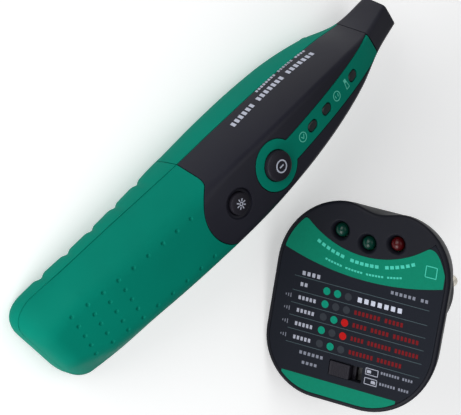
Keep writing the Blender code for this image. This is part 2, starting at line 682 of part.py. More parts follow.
def screw(name, mats, head_low, length, parent=None, matrix=None):
    """A pan-head screw whose head is at the low end of its own z axis."""
    profile = [(SCREW_HEAD_RADIUS - 0.5, head_low), (SCREW_HEAD_RADIUS, head_low + 0.6),
               (SCREW_HEAD_RADIUS, head_low + 1.7), (SCREW_SHANK_RADIUS, head_low + 1.7),
               (SCREW_SHANK_RADIUS, head_low + length - 1.0), (0.4, head_low + length)]
    made = new_object(name, turned((0, 0), profile, 14), mats["steel"], parent, matrix)
    slot_tool = helper(name + "_drive", box((-1.6, -0.3, head_low - 1), (1.6, 0.3, head_low + 0.8)), parent)
    cross_tool = helper(name + "_cross", box((-0.3, -1.6, head_low - 1), (0.3, 1.6, head_low + 0.8)), parent)
    if matrix is not None:
        slot_tool.matrix_basis = matrix
        cross_tool.matrix_basis = matrix
    cut(made, slot_tool, cross_tool)
    shade_round(made)


def receiver_screws(mats):
    for i, (x, y) in enumerate(BACK_SCREWS, 1):
        low = value_at(BACK_Z, x) + 0.6
        screw(f"case_screw_{i}", mats, low, 14.0, None, Matrix.Translation((x * MM, y * MM, 0)))


# ---------------------------------------------------------------- transmitter: shape
def face_outline(inset, depth=0.0):
    """The housing's outline at a depth: a soft rectangle with a finger notch in its top edge."""
    top = FACE_TOP - inset
    low = FACE_BOTTOM + inset
    right = half_outline(inset, FACE_ROUND_BOTTOM[1], FACE_ROUND_TOP[1])
    left = [(-x, y) for x, y in reversed(half_outline(inset, FACE_ROUND_BOTTOM[0], FACE_ROUND_TOP[0]))]
    crest = [(x, top) for x in (7.0, 4.0, 1.5, -1.0, -3.5)]
    points = [(0.0, low)] + right + crest + left
    return [(lean_x(x, y), y - notch_drop(x, y, depth)) for x, y in points]


def half_outline(inset, low_round, top_round):
    """The two corners on one side, from the bottom up. Each keeps its centre as the outline moves in."""
    turns = [math.radians(15 * k) for k in range(7)]
    x, y = FACE_HALF_WIDTH - low_round, FACE_BOTTOM + low_round
    reach = low_round - inset
    low = [(x + reach * math.sin(a), y - reach * math.cos(a)) for a in turns]
    x, y = FACE_HALF_WIDTH - top_round, FACE_TOP - top_round
    reach = top_round - inset
    return low + [(x + reach * math.cos(a), y + reach * math.sin(a)) for a in turns]


def lean_x(x, y):
    return x + FACE_MIDDLE_X + FACE_LEAN * y


def notch_drop(x, y, depth):
    """How far the finger notch lowers the top edge. It fades out behind the face."""
    if y < 0:
        return 0.0
    fade = max(0.0, 1 - depth / NOTCH_REACH)
    return NOTCH_DEPTH * fade * math.exp(-(((x - NOTCH_X) / NOTCH_HALF_WIDTH) ** 2))


def inset_at(depth):
    for (d0, i0), (d1, i1) in zip(SIDE_PROFILE, SIDE_PROFILE[1:]):
        if depth <= d1:
            return i0 + (i1 - i0) * (depth - d0) / (d1 - d0)
    return SIDE_PROFILE[-1][1]


def housing_loft(wall, first, last):
    """The transmitter's body between two depths, moved in by wall."""
    depths = [d for d, _ in SIDE_PROFILE if first + 0.2 < d < last - 0.2]
    rings = []
    for depth in [first] + depths + [last]:
        outline = face_outline(inset_at(depth) + wall, depth)
        rings.append([(x, y, -depth) for x, y in outline])
    return loft(rings)


def transmitter_basis():
    normal = Vector((math.sin(FACE_TILT) * math.cos(FACE_HEADING),
                     math.sin(FACE_TILT) * math.sin(FACE_HEADING),
                     math.cos(FACE_TILT)))
    up_slope = (Vector((0, 0, 1)) - normal * normal.z).normalized()
    level = normal.cross(up_slope)
    right = up_slope * math.cos(FACE_ROLL) - level * math.sin(FACE_ROLL)
    up = up_slope * math.sin(FACE_ROLL) + level * math.cos(FACE_ROLL)
    return Matrix((right, up, normal)).transposed()


def transmitter_matrix():
    """The pose whose lowest housing point stands on z = 0."""
    turn = transmitter_basis()
    points = []
    for depth, inset in SIDE_PROFILE:
        points += [Vector((x, y, -depth)) for x, y in face_outline(inset, depth)]
    height = -min((turn @ point).z for point in points)
    place = Vector((TRANSMITTER_X, TRANSMITTER_Y, height)) * MM
    return Matrix.Translation(place) @ turn.to_4x4()


def label_outline(inset):
    """The label: the face's outline, moved in, and cut off along an arc under the indicator lamps."""
    outline = face_outline(inset)
    drop = inset - LABEL_INSET + 0.1
    above = [i for i, (x, y) in enumerate(outline) if y > label_arc(x) - drop - 0.3]
    right_end = arc_end(outline, 1)
    left_end = arc_end(outline, -1)
    steps = 12
    spots = [right_end + (left_end - right_end) * i / steps for i in range(steps + 1)]
    arc = [(x, label_arc(x) - drop) for x in spots]
    return outline[:above[0]] + arc + outline[above[-1] + 1:]


def label_arc(x):
    return LABEL_ARC_Y + LABEL_ARC_RADIUS - math.sqrt(LABEL_ARC_RADIUS**2 - x**2)


def arc_end(outline, side):
    """The x, on one side, at which the label's arc meets the outline."""
    upper = sorted(point for point in outline if point[1] > 0)
    x = 0.0
    while label_arc(x) < height_at(upper, x):
        x += side * 0.1
    return x


def height_at(points, x):
    """The y of a line through points that are sorted by x."""
    for (x0, y0), (x1, y1) in zip(points, points[1:]):
        if x0 <= x <= x1:
            return y0 + (y1 - y0) * (x - x0) / max(x1 - x0, 0.001)
    return 0.0


# ---------------------------------------------------------------- transmitter: pieces
def transmitter_shells(mats, home):
    front_body = housing_loft(0.0, 0.0, FRONT_SHELL_DEPTH - GAP / 2)
    front = new_object("transmitter_front_shell", front_body, mats["dark"], home)
    front_room = helper("front_room", housing_loft(2.0, 2.2, FRONT_SHELL_DEPTH + 2), home)
    label_room = helper("label_room", prism(label_outline(LABEL_INSET), -LABEL_THICK - 0.1, 5), home)
    slot_low = (SLOT_CENTRE[0] - SLOT_SIZE[0] / 2, SLOT_CENTRE[1] - SLOT_SIZE[1] / 2, -6)
    slot_high = (SLOT_CENTRE[0] + SLOT_SIZE[0] / 2, SLOT_CENTRE[1] + SLOT_SIZE[1] / 2, 5)
    slot = helper("switch_slot", box(slot_low, slot_high), home)
    cut(front, front_room, label_room, slot)
    for i, (x, y) in enumerate(STATUS_LEDS, 1):
        bore, rim_radius = LED_RADIUS + 0.4, LED_RADIUS + 1.0
        rim = [(bore, -8), (bore, -0.6), (rim_radius, 0.0), (rim_radius, 2.0)]
        cut(front, helper(f"lamp_hole_{i}", turned((x, y), rim, 20), home))
        profile = [(LED_RADIUS, TX_BOARD_TOP + GAP), (LED_RADIUS, -2.2), (2.3, -1.1), (1.6, -0.1), (0.5, 0.4)]
        colour = "red_lens" if i == len(STATUS_LEDS) else "green_lens"
        lamp = new_object(f"status_led_{i}", turned((x, y), profile, 18), mats[colour], home)
        shade_round(lamp)

    label_plan = label_outline(LABEL_INSET + GAP)
    label = new_object("face_label", prism(label_plan, -LABEL_THICK + 0.15, -0.02), mats["black"], home)
    cut(label, slot)

    back_body = housing_loft(0.0, FRONT_SHELL_DEPTH + GAP / 2, BODY_DEPTH)
    back = new_object("transmitter_back_shell", back_body, mats["dark"], home)
    boss_end = -BODY_DEPTH - BOSS_DEPTH
    boss = turned((0, 0), [(BOSS_RADIUS - 1.0, boss_end), (BOSS_RADIUS, boss_end + 1.0),
                           (BOSS_RADIUS, -BODY_DEPTH + 2)], 40)
    add(back, helper("plug_boss", boss, home))
    cut(back, helper("back_room", housing_loft(2.0, 8.0, BODY_DEPTH - 2.2), home))
    for i, side in enumerate((1, -1), 1):
        recess_low = (-CLIP_HALF_WIDTH - 0.4, side * BOSS_RADIUS - CLIP_DEPTH, boss_end - 3)
        recess_high = (CLIP_HALF_WIDTH + 0.4, side * BOSS_RADIUS + CLIP_DEPTH, -BODY_DEPTH - 2.0)
        cut(back, helper(f"clip_recess_{i}", box(recess_low, recess_high), home))
        pin_plan = circle((side * PIN_SPACING / 2, 0), PIN_RADIUS + GAP, 20)
        cut(back, helper(f"pin_hole_{i}", prism(pin_plan, boss_end - 3, PIN_INNER_END - 2), home))
    for i, (x, y) in enumerate(TX_SCREWS, 1):
        post_top = TX_BOARD_TOP - BOARD_THICK - GAP
        post = helper(f"tx_post_{i}", prism(circle((x, y), POST_RADIUS, 14), -BODY_DEPTH + 1, post_top), home)
        head_plan = circle((x, y), SCREW_HEAD_RADIUS + GAP, 14)
        head = helper(f"tx_head_hole_{i}", prism(head_plan, -40, TX_HEAD_SEAT), home)
        shank_plan = circle((x, y), SCREW_SHANK_RADIUS + GAP, 12)
        shank = helper(f"tx_hole_{i}", prism(shank_plan, -40, post_top - 1.4), home)
        add(back, post)
        cut(back, head, shank)
    for piece in (front, back):
        merge_flat_faces(piece)
        shade_round(piece)


def transmitter_switch(mats, home):
    cx, cy = SLOT_CENTRE
    axis = Matrix.Translation((KNOB_X * MM, cy * MM, 0))
    half = (KNOB_SIZE[0] / 2, KNOB_SIZE[1] / 2)
    knob = new_object("mode_switch_knob", box((-half[0], -half[1], -4.2), (half[0], half[1], 0.7)),
                      mats["black"], home, axis)
    flange = helper("knob_flange", box((-5.4, -4.2, -4.2), (5.4, 4.2, -2.6)), home)
    flange.matrix_basis = axis
    add(knob, flange)
    for k in (-2, -1, 0, 1, 2):
        groove = helper(f"knob_groove_{k + 3}", box((k * 1.3 - 0.25, -5, 0.35), (k * 1.3 + 0.25, 5, 3)), home)
        groove.matrix_basis = axis
        cut(knob, groove)
    body = box((cx - 9.0, cy - 3.4, TX_BOARD_TOP + GAP), (cx + 9.0, cy + 3.4, -4.2 - GAP))
    new_object("mode_switch_body", body, mats["chip"], home)


def transmitter_contacts(mats, home):
    tip = -BODY_DEPTH - BOSS_DEPTH - PIN_LENGTH
    for name, side in (("live_pin", 1), ("neutral_pin", -1)):
        centre = (side * PIN_SPACING / 2, 0)
        profile = [(PIN_RADIUS - 1.2, tip), (PIN_RADIUS - 0.35, tip + 0.5), (PIN_RADIUS, tip + 1.6),
                   (PIN_RADIUS, PIN_INNER_END)]
        pin = new_object(name, turned(centre, profile, 20), mats["brass"], home)
        shade_round(pin)
    for i, side in enumerate((1, -1), 1):
        low = side * (BOSS_RADIUS - CLIP_DEPTH + GAP)
        high = side * (BOSS_RADIUS - 0.4)
        ends = sorted((low, high))
        profile = [(-BODY_DEPTH - BOSS_DEPTH + 1.2, ends[0]), (-BODY_DEPTH - 2.4, ends[0]),
                   (-BODY_DEPTH - 2.4, ends[1]), (-BODY_DEPTH - BOSS_DEPTH + 3.0, ends[1])]
        rings = [[(x, y, z) for z, y in profile] for x in (-CLIP_HALF_WIDTH, CLIP_HALF_WIDTH)]
        new_object(f"earth_contact_{i}", loft(rings), mats["steel"], home)


def transmitter_electronics(mats, home):
    low = TX_BOARD_TOP - BOARD_THICK
    new_object("transmitter_board", prism(TX_BOARD_OUTLINE, low, TX_BOARD_TOP), mats["board"], home)
    chip = box((*SIGNAL_CHIP[0], TX_BOARD_TOP + GAP), (*SIGNAL_CHIP[1], TX_BOARD_TOP + 2))
    new_object("signal_chip", chip, mats["chip"], home)
    capacitor = box((*MAINS_CAPACITOR[0], TX_PART_LOW), (*MAINS_CAPACITOR[1], low - GAP))
    new_object("mains_capacitor", capacitor, mats["ferrite"], home)
    choke = turned(CHOKE_CENTRE, [(CHOKE_RADIUS, TX_PART_LOW), (CHOKE_RADIUS, low - GAP)], 20)
    shade_round(new_object("filter_choke", choke, mats["copper"], home))
    tube = [(FUSE_RADIUS, -FUSE_HALF_LENGTH), (FUSE_RADIUS, FUSE_HALF_LENGTH)]
    fuse = turned_along_x(FUSE_CENTRE, tube, 16)
    shade_round(new_object("fuse", fuse, mats["chip"], home))
    block = [(TRANSFORMER_RADIUS, TX_PART_LOW), (TRANSFORMER_RADIUS, low - GAP)]
    core = turned(TRANSFORMER_CENTRE, block, 20)
    transformer = new_object("coupling_transformer", core, mats["ferrite"], home)
    shade_round(transformer)
    for i, (x, y) in enumerate(TX_SCREWS, 1):
        place = Matrix.Translation((x * MM, y * MM, 0))
        screw(f"plug_case_screw_{i}", mats, TX_HEAD_SEAT - GAP - 1.7, TX_SCREW_LENGTH, home, place)


def build():
    mats = MATERIALS
    receiver_shells(mats)
    receiver_controls(mats)
    receiver_electronics(mats)
    receiver_battery(mats)
    receiver_screws(mats)
    home = bpy.data.objects.new("transmitter_home", None)
    bpy.context.scene.collection.objects.link(home)
    home.matrix_basis = transmitter_matrix()
    transmitter_shells(mats, home)
    transmitter_switch(mats, home)
    transmitter_contacts(mats, home)
    transmitter_electronics(mats, home)


clear_scene()
MATERIALS = make_materials()
build()
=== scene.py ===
"""Looks of the circuit breaker finder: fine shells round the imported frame, moulded plastic, printed ink.

Lengths are in millimetres unless a name says otherwise, and MM turns them into metres.
The frame: +X from the receiver's tail to its nose, +Y its left side, +Z out of its front.
"""

import math

import bmesh
import bpy
from mathutils import Matrix, Vector
from mathutils.bvhtree import BVHTree
from mathutils.interpolate import poly_3d_calc


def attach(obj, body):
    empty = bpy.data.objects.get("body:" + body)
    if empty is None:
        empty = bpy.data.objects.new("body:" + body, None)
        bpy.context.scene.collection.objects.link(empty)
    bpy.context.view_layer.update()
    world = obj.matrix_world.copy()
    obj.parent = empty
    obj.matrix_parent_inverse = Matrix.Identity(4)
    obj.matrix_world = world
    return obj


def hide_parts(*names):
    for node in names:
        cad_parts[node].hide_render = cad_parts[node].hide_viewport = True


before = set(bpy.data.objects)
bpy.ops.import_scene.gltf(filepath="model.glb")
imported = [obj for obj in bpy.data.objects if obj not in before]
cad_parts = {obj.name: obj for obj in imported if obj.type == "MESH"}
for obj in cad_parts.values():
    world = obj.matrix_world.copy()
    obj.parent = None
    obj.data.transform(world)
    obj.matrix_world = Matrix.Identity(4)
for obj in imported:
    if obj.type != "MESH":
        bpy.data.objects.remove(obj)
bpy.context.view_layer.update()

MM = 0.001
GAP = 0.3
WALL = 1.8
# Shading: the angle of a sharp edge, how near to a reference surface a point counts as on it, and how nearly
# a face has to look the same way (a cosine) to take that surface's normals
SHARP_ANGLE = 30.0
ON_SURFACE = 0.03
SAME_FACING = 0.9

# ---------------- the receiver's dimensions
# They are the CAD's, except that TAIL_X and TAIL_LEAN are -88.4 and 0.15 there.
TAIL_X = -87.9
TIP_X = 91.0
NOSE_SEAM_X = 75.5
HANDLE_SEAM_X = -12.8
# The rounds at the tail, as (length along x, how far they move in)
TAIL_SIDE_ROUND = (9.0, 8.0)
TAIL_LEVEL_ROUND = (5.0, 3.6)
TAIL_LEAN = 0.21
TAIL_LEAN_REACH = 25.0
# Each profile is a list of (x, value) that a smooth curve runs through.
FRONT_Z = [(-91, 16.2), (-64, 24.6), (-33, 31.4), (-2, 34.5), (29, 34.3), (60, 30.3), (91, 21.0)]
BACK_Z = [(-91, 0.6), (-84, 0.0), (-76, 0.4), (-58, 1.7), (-40, 2.0), (-24, 1.4), (-12, 0.0), (-2, 0.0),
          (40, 0.0), (52, 1.2), (62, 3.8), (75.5, 9.3), (91, 10.3)]
RIDGE_Y = [(-91, 6.5), (-82, 8.2), (-70, 11.6), (-55, 13.2), (-35, 13.9), (-12, 14.4), (2, 13.4),
           (16, 12.6), (46, 10.4), (70, 6.4), (76, 5.7), (91, 5.3)]
RIDGE_ROUND = [(-91, 8.0), (-25, 8.0), (-8, 4.0), (10, 3.0), (60, 2.4), (91, 1.6)]
SEAM_Y = [(-89, 18.2), (-80, 18.8), (-60, 19.5), (-30, 19.8), (0, 19.6), (16, 18.6), (30, 17.3),
          (46, 15.0), (62, 11.6), (75.5, 7.7), (91, 7.2)]
SEAM_Z = [(-89, 8.6), (-81, 9.6), (-66, 12.4), (-50, 14.5), (-15, 18.8), (2, 19.6), (16, 19.3),
          (46, 17.4), (62, 14.8), (75.5, 12.0), (91, 13.0)]
BACK_ROUND = [(-91, 3.5), (-75, 4.5), (-55, 7.0), (-20, 9.5), (-8, 11.0), (20, 9.0), (50, 7.0),
              (68, 3.5), (75.5, 2.0), (91, 1.6)]
FRONT_CROWN = 0.0037

GRIP_FIRST_X = -71.0
GRIP_PITCH = 11.8
GRIP_COUNT = 5
GRIP_DEPTH = 0.9
GRIP_HALF_WIDTH = 2.6
DIMPLE_FIRST_X = -77.0
DIMPLE_PITCH = 6.4
DIMPLE_LINES = (-8.8, -4.4, 0.0, 4.4, 8.8)
DIMPLE_SHORT_RUN = 4
DIMPLE_LONG_RUN = 9
DIMPLE_BALL = 0.95
DIMPLE_LIFT = 0.52

POWER_BUTTON_X = 11.7
POWER_BUTTON_RADIUS = 5.4
POWER_BUTTON_TOP_Z = 37.2
LIGHT_BUTTON_X = -8.1
LIGHT_BUTTON_RADIUS = 3.9
LIGHT_BUTTON_TOP_Z = 35.0
LIGHT_DISH_RADIUS = 5.6
# The dish's section, as (out from its radius, up from the front)
LIGHT_DISH_PROFILE = [(-1.0, -1.05), (-0.45, -0.9), (-0.1, -0.5), (0.0, -0.05), (0.1, 6.0)]
LIGHT_WAY_RADIUS = 1.2
BUTTON_STEM = (1.6, 27.3)
BUTTON_FLANGE_OUT = 0.9
BUTTON_FLANGE_Z = (29.9, 31.0)
STRIP_RING_RADIUS = 9.2
STRIP_HALF_WIDTH = 4.3
STRIP_DEPTH = 1.0
STRIP_FLOOR_Z = 18.0
WINDOW_X = (32.4, 41.1, 58.7)
WINDOW_LENGTH = 5.4
WINDOW_WIDTH = 3.7
# How far a window's outline has moved in at each height over the front
WINDOW_PROFILE = [(0.0, -0.95), (0.0, -0.45), (0.12, -0.3), (0.35, -0.2), (0.75, -0.13), (1.2, -0.1)]
TONGUE_RADIUS = 14.3
TONGUE_ROUND = 2.6
DOOR_X = -23.0
DOOR_HALF_WIDTH = 12.5
DOOR_TOP_Z = 3.1
THUMB_GROOVES = 5
THUMB_GROOVE_X = -84.0
THUMB_GROOVE_PITCH = 1.6
BOARD_Z = 20.0
TORCH_Z = 4.4
TORCH_RADIUS = 2.5
# The hump that holds the torch: (x, half its width, its lowest z)
TORCH_HUMP = [(51.5, 5.2, 3.2), (54.5, 7.6, 1.2), (57.5, 8.4, 0.6), (65.6, 8.4, 0.6), (67.2, 7.6, 1.4)]
TORCH_HUMP_TOP = 9.0
TORCH_HUMP_ROUND = 2.2
BACK_SCREWS = [(-5.0, 6.5), (-5.0, -6.5), (48.0, 0.0)]
SCREW_HEAD_RADIUS = 2.6
SCREW_SHANK_RADIUS = 1.3
SCREW_POST_RADIUS = 3.4

# ---------------- the transmitter's dimensions
FACE_HALF_WIDTH = 33.6
FACE_MIDDLE_X = -0.6
FACE_LEAN = 0.03
FACE_TOP = 37.5
FACE_BOTTOM = -37.3
# Corner radii, as (left, right)
FACE_ROUND_TOP = (27.0, 23.0)
FACE_ROUND_BOTTOM = (22.0, 27.0)
NOTCH_X = 1.5
NOTCH_DEPTH = 2.7
NOTCH_HALF_WIDTH = 7.6
NOTCH_REACH = 9.0
FRONT_SHELL_DEPTH = 11.5
BODY_DEPTH = 26.0
BOSS_RADIUS = 18.4
BOSS_DEPTH = 18.4
PIN_RADIUS = 2.4
PIN_LENGTH = 19.0
PIN_INNER_END = -17.0
PIN_TIP_ROUND = 1.5
PIN_SPACING = 19.0
CLIP_HALF_WIDTH = 3.2
CLIP_DEPTH = 1.6
# (depth behind the face, how far the outline has moved in)
SIDE_PROFILE = [(0.0, 0.9), (0.3, 0.3), (0.8, 0.0), (4.0, 0.8), (7.0, 1.8), (10.0, 3.0), (11.5, 3.75),
                (14.5, 5.5), (19.0, 8.0), (23.5, 10.8), (26.0, 13.0)]
LABEL_INSET = 1.5
LABEL_THICK = 0.5
LABEL_ARC_Y = 19.2
LABEL_ARC_RADIUS = 37.0
STATUS_LEDS = [(-10.8, 26.2), (0.2, 23.9), (11.2, 26.2)]
LED_RADIUS = 2.5
# A lamp hole's (radius, z) from inside to the face. The CAD's rim is 3.5 and not 4.1.
LAMP_HOLE_PROFILE = [(2.85, -8), (2.85, -1.7), (2.95, -1.3), (3.2, -0.8), (3.5, -0.35), (3.85, -0.08),
                     (4.1, 0.02), (4.1, 2.0)]
SLOT_CENTRE = (-1.2, -24.2)
SLOT_SIZE = (13.2, 5.8)
KNOB_SIZE = (8.2, 5.2)
KNOB_X = -3.4
KNOB_FOOT_Z = -4.2
KNOB_RIBS = 9
# One rib's section, as (share of the pitch, z)
KNOB_RIB_PROFILE = [(0.0, 0.5), (0.2, 0.52), (0.38, 0.64), (0.5, 0.68), (0.62, 0.64), (0.8, 0.52)]
TX_BOARD_TOP = -8.5
TX_BOARD_THICK = 1.6
TX_SCREWS = [(12.5, 18.0), (-12.5, 18.0), (12.5, -18.0), (-12.5, -18.0)]
TX_HEAD_SEAT = -23.3
FACE_TILT = math.radians(67.0)
FACE_HEADING = math.radians(144.8)
FACE_ROLL = math.radians(9.0)
TRANSMITTER_X = 9.2
TRANSMITTER_Y = -66.1


# ---------------- mesh helpers
def new_object(name, bm, mat=None):
    """An object from a bmesh that is measured in millimetres."""
    bmesh.ops.recalc_face_normals(bm, faces=bm.faces)
    mesh = bpy.data.meshes.new(name)
    bm.to_mesh(mesh)
    bm.free()
    mesh.transform(Matrix.Scale(MM, 4))
    if mat is not None:
        mesh.materials.append(mat)
    made = bpy.data.objects.new(name, mesh)
    bpy.context.scene.collection.objects.link(made)
    return made


def loft(rings, caps=True):
    """A body through rings of equal length, with flat ends."""
    bm = bmesh.new()
    loops = [[bm.verts.new(point) for point in ring] for ring in rings]
    count = len(loops[0])
    for first, second in zip(loops, loops[1:]):
        for i in range(count):
            j = (i + 1) % count
            bm.faces.new((first[i], first[j], second[j], second[i]))
    if caps:
        bm.faces.new(loops[0])
        bm.faces.new(loops[-1])
    return bm


def box(low, high):
    corners = [(low[0], low[1]), (high[0], low[1]), (high[0], high[1]), (low[0], high[1])]
    return prism(corners, low[2], high[2])


def prism(outline, low, high):
    """An (x, y) outline raised from z = low to z = high."""
    return loft([[(x, y, low) for x, y in outline], [(x, y, high) for x, y in outline]])


def side_prism(outline, half_width):
    """An (x, z) outline, stretched across y."""
    return loft([[(x, -half_width, z) for x, z in outline], [(x, half_width, z) for x, z in outline]])


def circle(centre, radius, steps):
    turns = [2 * math.pi * i / steps for i in range(steps)]
    return [(centre[0] + radius * math.cos(a), centre[1] + radius * math.sin(a)) for a in turns]


def turned(centre, profile, steps):
    """A turned body about the z axis through centre, from (radius, z) points going up."""
    return loft([[(x, y, z) for x, y in circle(centre, radius, steps)] for radius, z in profile])


def turned_along_x(centre, profile, steps):
    rings = []
    for radius, x in profile:
        rings.append([(x, y, z) for y, z in circle(centre, radius, steps)])
    return loft(rings)


def obround(centre, length, width, steps=16):
    """A slot shape, long in x, with round ends."""
    radius = width / 2
    reach = length / 2 - radius
    right = [math.pi * (i / steps - 0.5) for i in range(steps + 1)]
    points = [(centre[0] + reach + radius * math.cos(a), centre[1] + radius * math.sin(a)) for a in right]
    points += [(centre[0] - reach - radius * math.cos(a), centre[1] - radius * math.sin(a)) for a in right]
    return points


def ball(bm, centre, radius):
    place = Matrix.Translation(centre) @ Matrix.Diagonal((radius, radius, radius, 1.0))
    bmesh.ops.create_uvsphere(bm, u_segments=14, v_segments=8, radius=1.0, matrix=place)


TOOLS = []


def tool(bm, matrix=None):
    """A hidden body that only shapes other pieces."""
    made = new_object("tool", bm)
    if matrix is not None:
        made.data.transform(matrix)
    made.hide_render = True
    TOOLS.append(made)
    return made


def remove_tools():
    for made in TOOLS:
        bpy.data.objects.remove(made)
    TOOLS.clear()


def shape(piece, *steps):
    """Applies (operation, tool) Boolean steps to a piece's mesh."""
    for operation, other in steps:
        step = piece.modifiers.new("shape", "BOOLEAN")
        step.operation = operation
        step.solver = "EXACT"
        step.object = other
    bpy.context.view_layer.update()
    graph = bpy.context.evaluated_depsgraph_get()
    mesh = bpy.data.meshes.new_from_object(piece.evaluated_get(graph))
    piece.modifiers.clear()
    piece.data = mesh


def cuts(*tools):
    return [("DIFFERENCE", other) for other in tools]


def keeps(*tools):
    return [("INTERSECT", other) for other in tools]


def adds(*tools):
    return [("UNION", other) for other in tools]


def drill(centre, radius, low, high, steps):
    """An upright round tool."""
    return tool(prism(circle(centre, radius, steps), low, high))


def between(low_x, high_x):
    """A tool that takes in the whole receiver between two x."""
    return tool(box((low_x, -40, -20), (high_x, 40, 60)))


def round_shade(piece, angle):
    piece.data.shade_smooth()
    piece.data.set_sharp_from_angle(angle=math.radians(angle))


class Surface:
    """A smooth reference surface, which gives its exact normal to the pieces that are cut from it."""

    def __init__(self, bm):
        bmesh.ops.recalc_face_normals(bm, faces=bm.faces)
        bmesh.ops.triangulate(bm, faces=bm.faces)
        bm.normal_update()
        self.points = [v.co * MM for v in bm.verts]
        self.normals = [v.normal.copy() for v in bm.verts]
        bm.verts.index_update()
        self.faces = [[v.index for v in face.verts] for face in bm.faces]
        self.tree = BVHTree.FromPolygons(self.points, self.faces)
        bm.free()

    def normal_at(self, point):
        """The surface's smooth normal at a point that lies on it, or None."""
        place, _, index, distance = self.tree.find_nearest(point)
        if place is None or distance > ON_SURFACE * MM:
            return None
        corners = self.faces[index]
        weights = poly_3d_calc([self.points[i] for i in corners], place)
        total = Vector((0, 0, 0))
        for weight, i in zip(weights, corners):
            total += self.normals[i] * weight
        return total.normalized()

    def hit(self, start, direction):
        return self.tree.ray_cast(Vector(start) * MM, Vector(direction))

    def height(self, x, y):
        """The surface's highest z over (x, y), in millimetres."""
        return self.hit((x, y, 100.0), (0, 0, -1))[0].z / MM

    def on_top(self, x, y, lift):
        """The point over (x, y), lifted off the surface."""
        return (x, y, self.height(x, y) + lift)

    def on_side(self, x, z, lift):
        """The point of the left side at (x, z), lifted off the surface."""
        place, normal, _, _ = self.hit((x, 60.0, z), (0, -1, 0))
        return tuple(place / MM + normal * lift)


def shade_like(piece, surface):
    """Shades a cut piece with the smooth surface's normals, so that no cut edge shows in the shading."""
    mesh = piece.data
    round_shade(piece, SHARP_ANGLE)
    normals = [Vector(corner.vector) for corner in mesh.corner_normals]
    smooth = [surface.normal_at(vertex.co) for vertex in mesh.vertices]
    for face in mesh.polygons:
        for k in face.loop_indices:
            wanted = smooth[mesh.loops[k].vertex_index]
            if wanted is not None and wanted.dot(face.normal) > SAME_FACING:
                normals[k] = wanted
    mesh.normals_split_custom_set(normals)


def place_piece(piece, body, slot, *nodes):
    """Rides a piece on its body and hides the CAD nodes that it stands for; its slot is not used."""
    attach(piece, body)
    if nodes:
        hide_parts(*nodes)


def add_piece(name, bm, mat, place, steps=(), surface=None, angle=35.0, matrix=None):
    """One finished piece: cut to shape, moved, shaded, and placed by (body, slot, CAD nodes)."""
    made = new_object(name, bm, mat)
    if steps:
        shape(made, *steps)
    if matrix is not None:
        made.data.transform(matrix)
    if surface is None:
        round_shade(made, angle)
    else:
        shade_like(made, surface)
    place_piece(made, *place)


# ---------------- materials
class Look:
    """A material in the making: its shader, and short ways to add nodes and to link them."""

    def __init__(self, name):
        self.mat = bpy.data.materials.new(name)
        self.mat.use_nodes = True
        self.tree = self.mat.node_tree
        self.shader = self.tree.nodes["Principled BSDF"]
        self.coords = self.add("ShaderNodeTexCoord", {}).outputs["Object"]

    def put(self, node, inputs):
        """Sets each input to a value, or links it to a socket."""
        for key, value in inputs.items():
            if isinstance(value, bpy.types.NodeSocket):
                self.tree.links.new(value, node.inputs[key])
            else:
                node.inputs[key].default_value = value

    def add(self, kind, inputs, **settings):
        made = self.tree.nodes.new(kind)
        for key, value in settings.items():
            setattr(made, key, value)
        self.put(made, inputs)
        return made

    def noise(self, scale, detail=3.0, roughness=0.55):
        inputs = {"Vector": self.coords, "Scale": scale, "Detail": detail, "Roughness": roughness}
        return self.add("ShaderNodeTexNoise", inputs).outputs["Fac"]

    def ramp(self, value, low, high, to_low=0.0, to_high=1.0):
        inputs = {"Value": value, "From Min": low, "From Max": high, "To Min": to_low, "To Max": to_high}
        return self.add("ShaderNodeMapRange", inputs).outputs["Result"]

    def mixed(self, factor, first, second):
        """A colour between two, which are tuples or sockets."""
        inputs = {6: first, 7: second}
        for key, colour in inputs.items():
            if isinstance(colour, tuple):
                inputs[key] = (*colour, 1.0)
        return self.add("ShaderNodeMix", {"Factor": factor, **inputs}, data_type="RGBA").outputs[2]

    def bump(self, height, strength, distance, normal=None):
        inputs = {"Height": height, "Strength": strength, "Distance": distance * MM}
        if normal is not None:
            inputs["Normal"] = normal
        self.put(self.shader, {"Normal": self.add("ShaderNodeBump", inputs).outputs["Normal"]})

    def finish(self, inputs):
        self.put(self.shader, inputs)
        return self.mat


def scaled(colour, factor):
    return tuple(min(1.0, c * factor) for c in colour)


def plastic(name, colour, roughness, grain=0.1, grain_scale=1500.0, worn=1.35, specular=0.35, edge=0.3):
    """Moulded plastic: fine spark-eroded grain, faint colour drift, handled patches and worn edges."""
    look = Look(name)
    drift = look.ramp(look.noise(28.0, 2.0), 0.35, 0.65)
    base = look.mixed(drift, scaled(colour, 0.94), scaled(colour, 1.06))
    rounded = look.add("ShaderNodeBevel", {"Radius": edge * MM}, samples=4).outputs["Normal"]
    flat = look.add("ShaderNodeNewGeometry", {}).outputs["Normal"]
    turn = look.add("ShaderNodeVectorMath", {0: rounded, 1: flat}, operation="DOT_PRODUCT").outputs["Value"]
    edges = look.ramp(turn, 0.97, 0.75)
    scuffs = look.ramp(look.noise(420.0, 4.0, 0.7), 0.42, 0.62, 0.0, 0.6)
    wear = look.add("ShaderNodeMath", {0: edges, 1: scuffs}, operation="MULTIPLY").outputs[0]
    look.bump(look.noise(grain_scale, 3.0, 0.6), grain, 0.1, rounded)
    return look.finish({
        "Base Color": look.mixed(wear, base, scaled(colour, worn)),
        "Roughness": look.ramp(look.noise(60.0), 0.3, 0.7, roughness - 0.05, roughness + 0.05),
        "Specular IOR Level": specular,
    })


